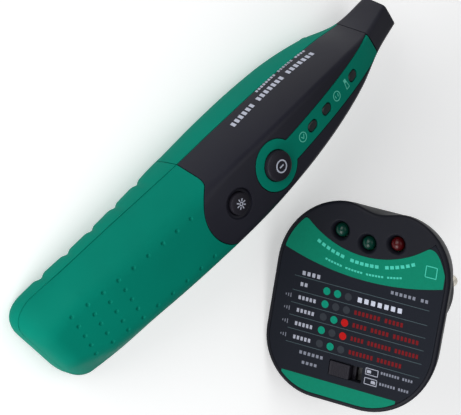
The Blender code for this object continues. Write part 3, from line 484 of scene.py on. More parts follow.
def ink(name, colour):
    """Screen-printed ink, a little uneven."""
    look = Look(name)
    patches = look.noise(900.0)
    return look.finish({
        "Base Color": look.mixed(look.ramp(patches, 0.3, 0.7), scaled(colour, 0.95), scaled(colour, 1.04)),
        "Roughness": look.ramp(patches, 0.3, 0.7, 0.42, 0.58),
        "Specular IOR Level": 0.06,
    })


def lens(name, colour, roughness, transmission, coat, specular=0.5):
    """Tinted epoxy, glossy, with faint moulding ripples."""
    look = Look(name)
    ripples = look.noise(260.0, 2.0)
    look.bump(ripples, 0.01, 0.1)
    return look.finish({
        "Base Color": look.mixed(look.ramp(ripples, 0.3, 0.7), scaled(colour, 0.85), scaled(colour, 1.15)),
        "Roughness": look.ramp(ripples, 0.3, 0.7, roughness, roughness + 0.06),
        "Transmission Weight": transmission,
        "Specular IOR Level": specular,
        "Coat Weight": coat,
        "Coat Roughness": 0.08,
    })


def metal(name, colour, roughness, grain=0.12, scale=500.0):
    """Plated metal with fine marks and faint stains."""
    look = Look(name)
    marks = look.noise(scale, 4.0, 0.65)
    look.bump(marks, grain, 0.05)
    return look.finish({
        "Base Color": look.mixed(look.ramp(look.noise(120.0), 0.35, 0.7), colour, scaled(colour, 0.78)),
        "Roughness": look.ramp(marks, 0.3, 0.7, roughness - 0.08, roughness + 0.1),
        "Metallic": 1.0,
    })


def circuit_board():
    """Green solder mask over copper tracks that run square to each other, with rows of plated holes."""
    look = Look("circuit_board")
    tracks = look.add("ShaderNodeTexBrick", {
        "Vector": look.coords, "Scale": 160.0, "Mortar Size": 0.06, "Mortar Smooth": 0.2,
        "Color1": (0.006, 0.075, 0.03, 1.0), "Color2": (0.008, 0.09, 0.035, 1.0),
        "Mortar": (0.03, 0.2, 0.08, 1.0)})
    dots = look.add("ShaderNodeTexVoronoi", {"Vector": look.coords, "Scale": 210.0, "Randomness": 0.35})
    pads = look.ramp(dots.outputs["Distance"], 0.14, 0.1)
    look.bump(tracks.outputs["Fac"], 0.3, 0.05)
    colour = look.mixed(pads, tracks.outputs["Color"], (0.62, 0.6, 0.56))
    return look.finish({"Base Color": colour, "Metallic": pads, "Roughness": 0.32})


def winding(name, colour):
    """Enamelled wire, wound close: fine bands across x."""
    look = Look(name)
    inputs = {"Vector": look.coords, "Scale": 900.0, "Distortion": 0.4}
    bands = look.add("ShaderNodeTexWave", inputs, bands_direction="X").outputs["Fac"]
    look.bump(bands, 0.6, 0.1)
    banded = look.mixed(bands, scaled(colour, 0.45), colour)
    return look.finish({"Base Color": banded, "Metallic": 0.8, "Roughness": 0.35})


def battery_sleeve():
    """A printed metal sleeve: a dark band and a copper-coloured band, split along the battery's length."""
    look = Look("battery_sleeve")
    along = look.add("ShaderNodeSeparateXYZ", {"Vector": look.coords}).outputs["X"]
    smudges = look.noise(150.0, 4.0)
    dark = look.mixed(smudges, (0.012, 0.02, 0.05), (0.02, 0.03, 0.07))
    copper = look.mixed(smudges, (0.45, 0.2, 0.07), (0.55, 0.27, 0.1))
    return look.finish({
        "Base Color": look.mixed(look.ramp(along, -0.0262, -0.0258), dark, copper),
        "Roughness": look.ramp(smudges, 0.3, 0.7, 0.22, 0.36),
        "Metallic": 0.5,
    })


def floor_paint():
    """Pale paint that gives off a little light, so that the floor stays near white."""
    look = Look("studio_floor")
    return look.finish({
        "Base Color": look.mixed(look.noise(3.0, 2.0), (0.9, 0.9, 0.9), (0.93, 0.93, 0.93)),
        "Roughness": 0.85,
        "Specular IOR Level": 0.1,
        "Emission Color": (1.0, 1.0, 1.0, 1.0),
        "Emission Strength": 0.32,
    })


# Rows of plastic(): name, colour, roughness, grain, grain scale, worn edge, specular, edge width
PLASTICS = {
    "green": ("green_plastic", (0.0, 0.165, 0.115), 0.6, 0.09, 1500.0, 1.4, 0.04),
    "strip": ("strip_plastic", (0.0, 0.165, 0.113), 0.55, 0.05, 2200.0, 1.3, 0.05),
    "dark": ("dark_plastic", (0.01, 0.01, 0.017), 0.42, 0.1, 1500.0, 1.9, 0.2),
    "housing": ("housing_plastic", (0.006, 0.0065, 0.0105), 0.46, 0.1, 1500.0, 2.4, 0.1),
    "nose": ("nose_plastic", (0.013, 0.013, 0.02), 0.45, 0.12, 1300.0, 1.8, 0.18),
    "button": ("button_plastic", (0.011, 0.01, 0.015), 0.5, 0.16, 1800.0, 1.8, 0.15),
    "label": ("label_film", (0.006, 0.0075, 0.0125), 0.45, 0.03, 2600.0, 1.5, 0.07),
    "resin": ("component_resin", (0.02, 0.02, 0.021), 0.55, 0.2, 2400.0, 1.8, 0.4),
    "ferrite": ("ferrite", (0.045, 0.043, 0.042), 0.62, 0.3, 900.0, 1.6, 0.3),
    "red_wire": ("red_insulation", (0.5, 0.012, 0.01), 0.38, 0.04, 900.0, 1.3),
}
# Rows of lens(): name, colour, roughness, transmission, coat, specular
LENSES = {
    "window": ("smoked_lens", (0.004, 0.007, 0.008), 0.1, 0.0, 0.1),
    "green_lens": ("green_lens", (0.0, 0.024, 0.016), 0.22, 0.0, 0.0, 0.22),
    "red_lens": ("red_lens", (0.045, 0.001, 0.002), 0.22, 0.0, 0.0, 0.22),
    "clear_lens": ("clear_lens", (0.9, 0.94, 0.95), 0.03, 0.85, 0.0),
}
INKS = {
    "soft_white_ink": (0.3, 0.31, 0.37),
    "white_ink": (0.42, 0.44, 0.52),
    "dim_ink": (0.16, 0.17, 0.21),
    "line_ink": (0.05, 0.075, 0.085),
    "grey_ink": (0.022, 0.026, 0.033),
    "green_ink": (0.0, 0.15, 0.09),
    "pale_green_ink": (0.05, 0.42, 0.32),
    "mint_ink": (0.1, 0.5, 0.38),
    "red_ink": (0.13, 0.004, 0.006),
    "bright_red_ink": (0.34, 0.004, 0.004),
    "dot_green_ink": (0.0, 0.19, 0.12),
}


def make_materials():
    mats = {key: plastic(*row) for key, row in PLASTICS.items()}
    mats.update({key: lens(*row) for key, row in LENSES.items()})
    mats.update({name: ink(name, colour) for name, colour in INKS.items()})
    mats["board"] = circuit_board()
    mats["steel"] = metal("screw_steel", (0.62, 0.62, 0.64), 0.32)
    mats["brass"] = metal("plated_brass", (0.78, 0.73, 0.62), 0.24, 0.02, 700.0)
    mats["copper"] = winding("coil_copper", (0.62, 0.24, 0.1))
    mats["battery"] = battery_sleeve()
    return mats


# ---------------- receiver: the body's shape
def value_at(points, x):
    """The smooth curve through (x, value) points, as a cubic between neighbours."""
    if x <= points[0][0]:
        return points[0][1]
    if x >= points[-1][0]:
        return points[-1][1]
    i = max(k for k in range(len(points) - 1) if points[k][0] <= x)

    def slope(k):
        low = points[max(k - 1, 0)]
        high = points[min(k + 1, len(points) - 1)]
        return (high[1] - low[1]) / (high[0] - low[0])

    (x0, v0), (x1, v1) = points[i], points[i + 1]
    width = x1 - x0
    t = (x - x0) / width
    rise = (2 * t**3 - 3 * t**2 + 1) * v0 + (3 * t**2 - 2 * t**3) * v1
    return rise + width * ((t**3 - 2 * t**2 + t) * slope(i) + (t**3 - t**2) * slope(i + 1))


def rounded_corner(before, corner, after, radius, steps):
    """Points of the arc that rounds a corner, in (y, z). A short side makes the arc smaller."""
    corner = Vector(corner)
    to_before = Vector(before) - corner
    to_after = Vector(after) - corner
    longest = 0.85 * min(to_before.length, to_after.length)
    to_before.normalize()
    to_after.normalize()
    half = to_before.angle(to_after) / 2
    reach = min(radius / math.tan(half), longest)
    radius = reach * math.tan(half)
    centre = corner + (to_before + to_after).normalized() * (radius / math.sin(half))
    start = corner + to_before * reach - centre
    end = corner + to_after * reach - centre
    angle = start.angle(end)
    arc = []
    for i in range(steps + 1):
        t = i / steps
        point = (start * math.sin((1 - t) * angle) + end * math.sin(t * angle)) / math.sin(angle)
        arc.append(tuple(centre + point))
    return arc


def grip_dent(x):
    """How far the finger notches cut into the back edge of the handle at x."""
    depth = 0.0
    for i in range(GRIP_COUNT):
        off = abs(x - GRIP_FIRST_X - i * GRIP_PITCH) / GRIP_HALF_WIDTH
        if off < 1:
            depth = GRIP_DEPTH * (1 + math.cos(math.pi * off)) / 2
    return depth


def tail_drop(from_end, length, most):
    """How far an elliptical round at the tail has moved in, at a distance from the end."""
    into_round = min(max(0.0, length - from_end) / length, 1.0)
    return most * (1 - math.sqrt(1 - into_round**2))


def section(x, inset=0.0, tail_x=TAIL_X, ridge_steps=10, back_steps=8, crown_steps=4):
    """The receiver's closed outline at x, as (x, y, z), moved in by inset all round."""
    side_in = inset + tail_drop(x - tail_x, *TAIL_SIDE_ROUND)
    level_in = inset + tail_drop(x - tail_x, *TAIL_LEVEL_ROUND)
    dent = grip_dent(x) if inset == 0.0 else 0.0
    front = value_at(FRONT_Z, x) - level_in
    back = max(value_at(BACK_Z, x), 0.0) + level_in
    ridge = value_at(RIDGE_Y, x)
    ridge_z = front - FRONT_CROWN * ridge**2
    seam_z = value_at(SEAM_Z, x)
    seam_y = value_at(SEAM_Y, x) - side_in
    ridge = min(ridge - inset * 0.8, seam_y * 0.6)
    foot_y = seam_y - 0.2 - dent
    ridge_round = max(value_at(RIDGE_ROUND, x) - inset, 0.7)
    back_round = min(max(value_at(BACK_ROUND, x) - inset, 0.7), (seam_z - back) * 0.8)
    shares = [0.4 * (k + 1) / crown_steps for k in range(crown_steps)]
    crown = [(ridge * k, front - FRONT_CROWN * (ridge * k) ** 2) for k in shares]
    half = [(0.0, front)] + crown
    half += rounded_corner(half[-1], (ridge, ridge_z), (seam_y, seam_z), ridge_round, ridge_steps)
    half.append((seam_y, seam_z))
    foot = (foot_y, back + dent)
    half += rounded_corner((seam_y, seam_z), foot, (0.0, back + dent), back_round, back_steps)
    half.append((foot_y * 0.3, back))
    half.append((0.0, back))
    other = [(-y, z) for y, z in half[-2:0:-1]]
    lean = TAIL_LEAN * max(0.0, 1 - (x - TAIL_X) / TAIL_LEAN_REACH) ** 2
    return [(x - y * lean, y, z) for y, z in half + other]


def stations(low, high, step, tail_x=TAIL_X):
    """Where the sections stand: close together round the tail and along the grip notches."""
    tail = [tail_x + TAIL_SIDE_ROUND[0] * (1 - math.cos(math.radians(a))) for a in range(8, 91, 8)]
    grip = [GRIP_FIRST_X + GRIP_PITCH * i + GRIP_HALF_WIDTH * k / 4 for i in range(GRIP_COUNT)
            for k in (-4, -3, -2, -1, 0, 1, 2, 3, 4)]
    grip += [GRIP_FIRST_X + GRIP_PITCH * (i + k) for i in range(GRIP_COUNT) for k in (0.35, 0.5, 0.65)]
    rest = [tail_x + 10.5 + step * i for i in range(int((high - tail_x) / step))]
    rest = [x for x in rest if x > GRIP_FIRST_X + GRIP_PITCH * GRIP_COUNT - 6 or x < GRIP_FIRST_X - 3]
    inner = sorted(x for x in tail + grip + rest if low + 0.25 < x < high - 0.25)
    spaced = [low]
    for x in inner:
        if x - spaced[-1] > 0.25:
            spaced.append(x)
    return spaced + [high]


def fine_body(low, high, inset=0.0, caps=True, step=2.0):
    return loft([section(x, inset) for x in stations(low, high, step)], caps)


def coarse_body(inset, low, high):
    return loft([section(x, inset, low, 4, 4, 2) for x in stations(low, high, 6.0, low)])


def front_normal_turn(x):
    """The rotation that lays a piece on the front surface at x."""
    slope = (value_at(FRONT_Z, x + 1) - value_at(FRONT_Z, x - 1)) / 2
    return Matrix.Rotation(-math.atan(slope), 4, "Y")


def on_front(x):
    place = Vector((x, 0, value_at(FRONT_Z, x))) * MM
    return Matrix.Translation(place) @ front_normal_turn(x)


def seam_region(above):
    """Everything above or below the seam between the front and back shells."""
    side = 1 if above else -1
    edge = [(x, value_at(SEAM_Z, x) + side * GAP / 2) for x in stations(TAIL_X - 4, TIP_X + 4, 2.0)]
    far = 60.0 if above else -20.0
    return side_prism([(edge[0][0], far)] + edge + [(edge[-1][0], far)], 40.0)


def tongue_outline(grow):
    """Plan of the upper cover: it ends in a round tongue about the light button."""
    radius = TONGUE_RADIUS + grow
    edge_x = HANDLE_SEAM_X - grow
    small = TONGUE_ROUND
    round_x = edge_x - small
    round_y = math.sqrt((radius + small) ** 2 - (round_x - LIGHT_BUTTON_X) ** 2)
    meet = math.atan2(round_y, round_x - LIGHT_BUTTON_X)
    points = [(100.0, 40.0), (edge_x, 40.0)]
    for i in range(10):
        turn = (meet - math.pi) * i / 9
        points.append((round_x + small * math.cos(turn), round_y + small * math.sin(turn)))
    sweep = 2 * (math.pi - meet)
    for i in range(1, 48):
        turn = meet + sweep * i / 48
        points.append((LIGHT_BUTTON_X + radius * math.cos(turn), radius * math.sin(turn)))
    return points + [(x, -y) for x, y in reversed(points[:12])]


def keyhole_outline(grow, end_x):
    """The ring round the power button, and the strip that runs from it to the nose."""
    radius = STRIP_RING_RADIUS + grow
    half = STRIP_HALF_WIDTH + grow
    start = math.asin(half / radius)
    points = [(end_x, -half), (end_x, half)]
    for i in range(65):
        turn = start + (2 * math.pi - 2 * start) * i / 64
        points.append((POWER_BUTTON_X + radius * math.cos(turn), radius * math.sin(turn)))
    return points


# ---------------- receiver: pieces
def receiver_shells(mats):
    """The receiver's outer pieces, cut from one smooth body. It returns that body's surface."""
    surface = Surface(fine_body(TAIL_X, TIP_X, caps=False))
    inner = tool(coarse_body(WALL, TAIL_X + 2.2, TIP_X - 2.2))
    outer_up = tool(fine_body(HANDLE_SEAM_X - 14, TIP_X))
    under_strip = tool(fine_body(-8.0, TIP_X - 3, STRIP_DEPTH))
    under_pocket = tool(fine_body(-8.0, TIP_X - 1, STRIP_DEPTH + GAP))
    front_side = tool(seam_region(True))
    back_side = tool(seam_region(False))
    edge = NOSE_SEAM_X - GAP / 2
    power_hole = drill((POWER_BUTTON_X, 0), POWER_BUTTON_RADIUS + GAP, 10, 60, 72)

    def add(name, bm, key, steps, body, slot, node):
        add_piece(name, bm, mats[key], (body, slot, node), steps, surface)

    window_plan = obround((0, 0), WINDOW_LENGTH, WINDOW_WIDTH)
    window_tools = [tool(prism(window_plan, -1.6, 4), on_front(x)) for x in WINDOW_X]
    add("indicator_band", prism(keyhole_outline(0.0, edge - 0.2), STRIP_FLOOR_Z, 60), "strip",
        keeps(outer_up) + cuts(under_strip, power_hole, *window_tools),
        "receiver", "green_plastic", "indicator_strip")

    pocket = tool(prism(keyhole_outline(GAP, 90.0), 10, 60))
    shape(pocket, *cuts(under_pocket))
    light_hole = drill((LIGHT_BUTTON_X, 0), LIGHT_BUTTON_RADIUS + GAP, 10, 60, 60)
    rim_z = value_at(FRONT_Z, LIGHT_BUTTON_X)
    dish_profile = [(LIGHT_DISH_RADIUS + out, rim_z + up) for out, up in LIGHT_DISH_PROFILE]
    dish = tool(turned((LIGHT_BUTTON_X, 0), dish_profile, 72))
    tongue = tool(prism(tongue_outline(-GAP / 2), -10, 60))
    light_ways = [tool(prism(circle((0, 0), LIGHT_WAY_RADIUS, 16), -4.5, 4), on_front(x)) for x in WINDOW_X]
    add("upper_cover", fine_body(HANDLE_SEAM_X - 14, TIP_X), "dark",
        cuts(inner) + keeps(front_side, between(-120, edge), tongue)
        + cuts(pocket, power_hole, light_hole, dish, *light_ways),
        "receiver", "dark_plastic", "front_upper_cover")

    tongue_wide = tool(prism(tongue_outline(GAP / 2), -10, 60))
    add("handle_cover", fine_body(TAIL_X, HANDLE_SEAM_X + 6), "green",
        cuts(inner) + keeps(front_side) + cuts(tongue_wide, dimples(surface)),
        "receiver", "green_plastic", "front_handle_cover")

    upper_region = between(HANDLE_SEAM_X + GAP / 2, edge)
    add("upper_back", fine_body(HANDLE_SEAM_X - 1, TIP_X), "green",
        cuts(inner) + keeps(back_side, upper_region) + upper_back_steps(),
        "receiver", "green_plastic", "upper_back_shell")

    lower_region = between(-120, HANDLE_SEAM_X - GAP / 2)
    door_way = tool(box((-120, -DOOR_HALF_WIDTH - GAP, -20),
                        (DOOR_X + GAP, DOOR_HALF_WIDTH + GAP, DOOR_TOP_Z + GAP)))
    add("handle_grip", fine_body(TAIL_X, HANDLE_SEAM_X + 6), "green",
        cuts(inner) + keeps(back_side, lower_region) + cuts(door_way),
        "receiver", "green_plastic", "handle_grip_shell")

    door_box = tool(box((-120, -DOOR_HALF_WIDTH, -20), (DOOR_X, DOOR_HALF_WIDTH, DOOR_TOP_Z)))
    grooves = []
    for i in range(THUMB_GROOVES):
        start = THUMB_GROOVE_X + THUMB_GROOVE_PITCH * i
        grooves.append(tool(box((start, -5.0, -2.0), (start + THUMB_GROOVE_PITCH / 2, 5.0, 0.35))))
    add("battery_hatch", fine_body(TAIL_X, HANDLE_SEAM_X + 6), "green",
        keeps(door_box) + cuts(*grooves), "battery_door", "green_plastic", "battery_door")

    add("sensing_nose", fine_body(NOSE_SEAM_X + GAP / 2, TIP_X), "nose",
        cuts(inner), "receiver", "button_plastic", "nose_cap")
    return surface


def dimples(surface):
    """One tool with a ball for each grip dimple of the handle."""
    bm = bmesh.new()
    for y in DIMPLE_LINES:
        count = DIMPLE_LONG_RUN if abs(y) == max(DIMPLE_LINES) else DIMPLE_SHORT_RUN
        for i in range(count):
            x = DIMPLE_FIRST_X + DIMPLE_PITCH * i
            ball(bm, (x, y, surface.height(x, y) + DIMPLE_LIFT), DIMPLE_BALL)
    return tool(bm)


def upper_back_steps():
    """The screw posts and the torch housing of the upper back shell, and its holes."""
    steps = []
    for spot in BACK_SCREWS:
        steps += adds(drill(spot, SCREW_POST_RADIUS, value_at(BACK_Z, spot[0]) + 1.0, BOARD_Z - GAP, 32))
    steps += adds(tool(torch_hump()))
    for spot in BACK_SCREWS:
        bottom = value_at(BACK_Z, spot[0])
        steps += cuts(drill(spot, SCREW_HEAD_RADIUS + GAP, -5, bottom + 2.6, 40),
                      drill(spot, SCREW_SHANK_RADIUS + GAP, -5, bottom + 16, 24))
    bore = TORCH_RADIUS + GAP
    return steps + cuts(tool(turned_along_x((0.0, TORCH_Z), [(bore, 58.0), (bore, 80.0)], 40)))


def torch_hump():
    rings = []
    runs = [TORCH_HUMP[0][0] + (TORCH_HUMP[-1][0] - TORCH_HUMP[0][0]) * i / 16 for i in range(17)]
    halves = [(x, half) for x, half, _ in TORCH_HUMP]
    lows = [(x, low) for x, _, low in TORCH_HUMP]
    for x in runs:
        half, low = value_at(halves, x), value_at(lows, x)
        side = rounded_corner((half, TORCH_HUMP_TOP), (half, low), (0, low), TORCH_HUMP_ROUND, 8)
        outline = [(half, TORCH_HUMP_TOP)] + side
        rings.append([(x, y, z) for y, z in outline + [(-y, z) for y, z in reversed(outline)]])
    return loft(rings)


def button(name, x, radius, top, dome, mat, node):
    """A domed push button with a retaining flange and a stem. It returns the top's surface."""
    stem, low = BUTTON_STEM
    flange = radius + BUTTON_FLANGE_OUT
    flange_low, flange_top = BUTTON_FLANGE_Z
    rim, rise = top - dome - 0.3, dome + 0.3
    profile = [(stem, low), (stem, flange_low), (flange, flange_low), (flange, flange_top),
               (radius, flange_top), (radius, rim)]
    for i in range(1, 19):
        turn = math.pi / 2 * i / 18
        profile.append((max(radius * math.cos(turn) ** 0.62, 0.05), rim + rise * math.sin(turn) ** 0.8))
    add_piece(name, turned((x, 0), profile, 72), mat, (node, "button_plastic", node), angle=50.0)
    return Surface(turned((x, 0), profile[5:], 72))


def windows(mats):
    """Smoked indicator lenses, a little crowned and set below the strip's surface."""
    for i, x in enumerate(WINDOW_X, 1):
        rings = []
        for shrink, z in WINDOW_PROFILE:
            plan = obround((0, 0), WINDOW_LENGTH - 2 * GAP - shrink, WINDOW_WIDTH - 2 * GAP - shrink)
            rings.append([(px, py, z) for px, py in plan])
        add_piece(f"smoked_window_{i}", loft(rings), mats["window"],
                  ("receiver", "window_plastic", f"led_window_{i}"), angle=40.0, matrix=on_front(x))


# ---------------- printed marks
# The gap between words, and the inked share of a dash, in dash lengths
WORD_GAP = 0.9
DASH_SHARE = 0.62


def ribbon(points, width, closed=False):
    """Pairs of points on both sides of a line, which a printed stroke fills."""
    pairs = []
    count = len(points)
    for i, point in enumerate(points):
        before = points[i - 1] if closed or i > 0 else point
        after = points[(i + 1) % count] if closed or i < count - 1 else point
        along = (Vector(after) - Vector(before)).normalized()
        across = Vector((-along.y, along.x)) * (width / 2)
        pairs.append((tuple(Vector(point) + across), tuple(Vector(point) - across)))
    if closed:
        pairs.append(pairs[0])
    return pairs


def line(start, end, width, steps=1):
    points = [tuple(Vector(start).lerp(Vector(end), i / steps)) for i in range(steps + 1)]
    return ribbon(points, width)


def ring(centre, radius, width, steps=40):
    return ribbon(circle(centre, radius, steps), width, True)


def disc(centre, radius, steps=28):
    """A filled circle, as pairs from its left to its right."""
    pairs = []
    for i in range(steps + 1):
        turn = math.pi * i / steps
        x = centre[0] - radius * math.cos(turn)
        rise = max(radius * math.sin(turn), 0.01)
        pairs.append(((x, centre[1] + rise), (x, centre[1] - rise)))
    return pairs


def slab(left, right, low, high, steps=2):
    """A filled rectangle."""
    middle = (low + high) / 2
    return line((left, middle), (right, middle), high - low, steps)


def dashes(start, end, height, words, steps=2):
    """A plain dashed bar in place of a line of words. words gives how many dashes each word has."""
    total = sum(words) + (len(words) - 1) * WORD_GAP
    along = (Vector(end) - Vector(start)) / total
    bars = []
    at = 0.0
    for count in words:
        for _ in range(count):
            first = Vector(start) + along * at
            bars.append(line(first, first + along * DASH_SHARE, height, steps))
            at += 1.0
        at += WORD_GAP
    return bars


def legend(left, right, low, high, words):
    """A level dashed bar."""
    middle = (low + high) / 2
    return dashes((left, middle), (right, middle), high - low, words, 1)


def printed(name, strokes, place, mat, body, slot, matrix=None, thick=0.05, lift=0.025):
    """One object of thin closed slabs. place gives the printed surface's point at (u, v), lifted off it."""
    bm = bmesh.new()
    for pairs in strokes:
        rings = []
        for left, right in pairs:
            tops = [place(*p, lift) for p in (left, right)]
            lows = [place(*p, lift - thick) for p in (right, left)]
            rings.append([bm.verts.new(p) for p in tops + lows])
        closed = pairs[0] == pairs[-1] and len(pairs) > 2
        if closed:
            for vertex in rings.pop():
                bm.verts.remove(vertex)
        spans = list(zip(rings, rings[1:] + rings[:1] if closed else rings[1:]))
        for first, second in spans:
            for i in range(4):
                j = (i + 1) % 4
                bm.faces.new((first[i], first[j], second[j], second[i]))
        if not closed:
            bm.faces.new(rings[0])
            bm.faces.new(rings[-1])
    made = new_object(name, bm, mat)
    if matrix is not None:
        made.data.transform(matrix)
    place_piece(made, body, slot)


def receiver_prints(mats, surface, power_surface, light_surface):
    """The marks on the buttons, the strip and the cover."""
    # Power: a ring with a bar
    centre = (POWER_BUTTON_X, 0.0)
    power = [ring(centre, 2.15, 0.5), line((centre[0] - 0.95, 0), (centre[0] + 0.95, 0), 0.5, 4)]
    printed("power_symbol", power, power_surface.on_top, mats["white_ink"], "power_button", "button_plastic")
    # Light: a small ring with eight rays
    centre = (LIGHT_BUTTON_X, 0.0)
    rays = [ring(centre, 0.62, 0.38, 20)]
    for i in range(8):
        turn = Vector((math.cos(math.pi * i / 4), math.sin(math.pi * i / 4)))
        rays.append(line(Vector(centre) + turn * 1.05, Vector(centre) + turn * 1.95, 0.4, 2))
    printed("light_symbol", rays, light_surface.on_top, mats["white_ink"], "light_button", "button_plastic")
    # The strip's icons: a ring with a tick, a ring with two marks, and a lamp
    icons = [ring((26.4, 0.1), 1.7, 0.3), ring((47.7, 0.2), 1.7, 0.3), slab(53.5, 54.8, 0.7, 2.1)]
    for start, end, width in (
            ((25.7, 0.6), (26.4, -0.6), 0.3), ((26.4, -0.6), (27.3, 0.8), 0.3),
            ((47.0, -0.3), (47.0, 0.8), 0.3), ((48.2, -0.4), (48.6, 0.7), 0.3),
            ((53.6, 0.8), (53.2, -1.5), 0.28), ((54.7, 0.8), (54.9, -1.5), 0.28),
            ((53.1, -1.5), (55.0, -1.5), 0.28)):
        icons.append(line(start, end, width))
    printed("strip_icons", icons, surface.on_top, mats["mint_ink"], "receiver", "green_plastic")
    # Two plain legend bars along the cover's left side
    big = dashes((55.6, 19.8), (10.3, 23.3), 1.7, (7, 7, 6))
    printed("cover_legend", big, surface.on_side, mats["white_ink"], "receiver", "dark_plastic")
    small = dashes((55.0, 16.7), (27.6, 19.4), 0.8, (4, 6, 8))
    printed("cover_small_legend", small, surface.on_side, mats["white_ink"], "receiver", "dark_plastic")


# ---------------- transmitter: shape
def face_outline(inset, depth=0.0, step=5):
    """The housing's outline at a depth: a soft rectangle with a finger notch in its top edge."""
    top = FACE_TOP - inset
    right = half_outline(inset, FACE_ROUND_BOTTOM[1], FACE_ROUND_TOP[1], step)
    left = [(-x, y) for x, y in reversed(half_outline(inset, FACE_ROUND_BOTTOM[0], FACE_ROUND_TOP[0], step))]
    start, end = FACE_HALF_WIDTH - FACE_ROUND_TOP[1], FACE_ROUND_TOP[0] - FACE_HALF_WIDTH
    crest = [(start + (end - start) * k / 16, top) for k in range(1, 16)]
    points = [(0.0, FACE_BOTTOM + inset)] + right + crest + left
    return [(lean_x(x, y), y - notch_drop(x, y, depth)) for x, y in points]


def half_outline(inset, low_round, top_round, step):
    """The two corners on one side, from the bottom up. Each keeps its centre as the outline moves in."""
    turns = [math.radians(a) for a in range(0, 91, step)]
    x, y = FACE_HALF_WIDTH - low_round, FACE_BOTTOM + low_round
    reach = low_round - inset
    low = [(x + reach * math.sin(a), y - reach * math.cos(a)) for a in turns]
    x, y = FACE_HALF_WIDTH - top_round, FACE_TOP - top_round
    reach = top_round - inset
    return low + [(x + reach * math.cos(a), y + reach * math.sin(a)) for a in turns]


def lean_x(x, y):
    return x + FACE_MIDDLE_X + FACE_LEAN * y


def notch_drop(x, y, depth):
    """How far the finger notch lowers the top edge. It fades out behind the face."""
    if y < 0:
        return 0.0
    fade = max(0.0, 1 - depth / NOTCH_REACH)
    return NOTCH_DEPTH * fade * math.exp(-(((x - NOTCH_X) / NOTCH_HALF_WIDTH) ** 2))


def housing_rings(wall, depths):
    rings = []
    for depth in depths:
        outline = face_outline(value_at(SIDE_PROFILE, depth) + wall, depth)
        rings.append([(x, y, -depth) for x, y in outline])
    return rings


def face_ring():
    """The edge of the flat face, so that its rounded rim stays narrow."""
    return [(x, y, 0.0) for x, y in face_outline(SIDE_PROFILE[0][1] + 0.35)]


def depths_between(first, last):
    """Depths that stand close together near the face's edge and 1 mm apart behind it."""
    near = [0.08, 0.18, 0.3, 0.5, 0.8, 1.2, 2.0]
    inner = [d for d in near + [3 + 1.0 * i for i in range(23)] if first + 0.08 < d < last - 0.2]
    return [first] + inner + [last]


def transmitter_basis():
    normal = Vector((math.sin(FACE_TILT) * math.cos(FACE_HEADING),
                     math.sin(FACE_TILT) * math.sin(FACE_HEADING),
                     math.cos(FACE_TILT)))
    up_slope = (Vector((0, 0, 1)) - normal * normal.z).normalized()
    level = normal.cross(up_slope)
    right = up_slope * math.cos(FACE_ROLL) - level * math.sin(FACE_ROLL)
    up = up_slope * math.sin(FACE_ROLL) + level * math.cos(FACE_ROLL)
    return Matrix((right, up, normal)).transposed()


def transmitter_matrix():
    """The pose whose lowest point stands as high as the CAD housing's does."""
    turn = transmitter_basis()
    points = []
    for depth, inset in SIDE_PROFILE:
        points += [Vector((x, y, -depth)) for x, y in face_outline(inset, depth, 15)]
    height = -min((turn @ point).z for point in points)
    place = Vector((TRANSMITTER_X, TRANSMITTER_Y, height)) * MM
    return Matrix.Translation(place) @ turn.to_4x4()


def label_outline(inset):
    """The label: the face's outline, moved in, and cut off along an arc under the indicator lamps."""
    outline = face_outline(inset)
    drop = inset - LABEL_INSET + 0.1
    above = [i for i, (x, y) in enumerate(outline) if y > label_arc(x) - drop - 0.3]
    right_end = arc_end(outline, 1)
    left_end = arc_end(outline, -1)
    steps = 40
    spots = [right_end + (left_end - right_end) * i / steps for i in range(steps + 1)]
    arc = [(x, label_arc(x) - drop) for x in spots]
    return outline[:above[0]] + arc + outline[above[-1] + 1:]


def label_arc(x):
    return LABEL_ARC_Y + LABEL_ARC_RADIUS - math.sqrt(LABEL_ARC_RADIUS**2 - x**2)


def arc_end(outline, side):
    """The x, on one side, at which the label's arc meets the outline."""
    upper = sorted(point for point in outline if point[1] > 0)
    x = 0.0
    while label_arc(x) < height_at(upper, x):
        x += side * 0.1
    return x


def height_at(points, x):
    """The y of a line through points that are sorted by x."""
    for (x0, y0), (x1, y1) in zip(points, points[1:]):
        if x0 <= x <= x1:
            return y0 + (y1 - y0) * (x - x0) / max(x1 - x0, 0.001)
    return 0.0


def on_face(x, y, lift):
    return (x, y, lift)


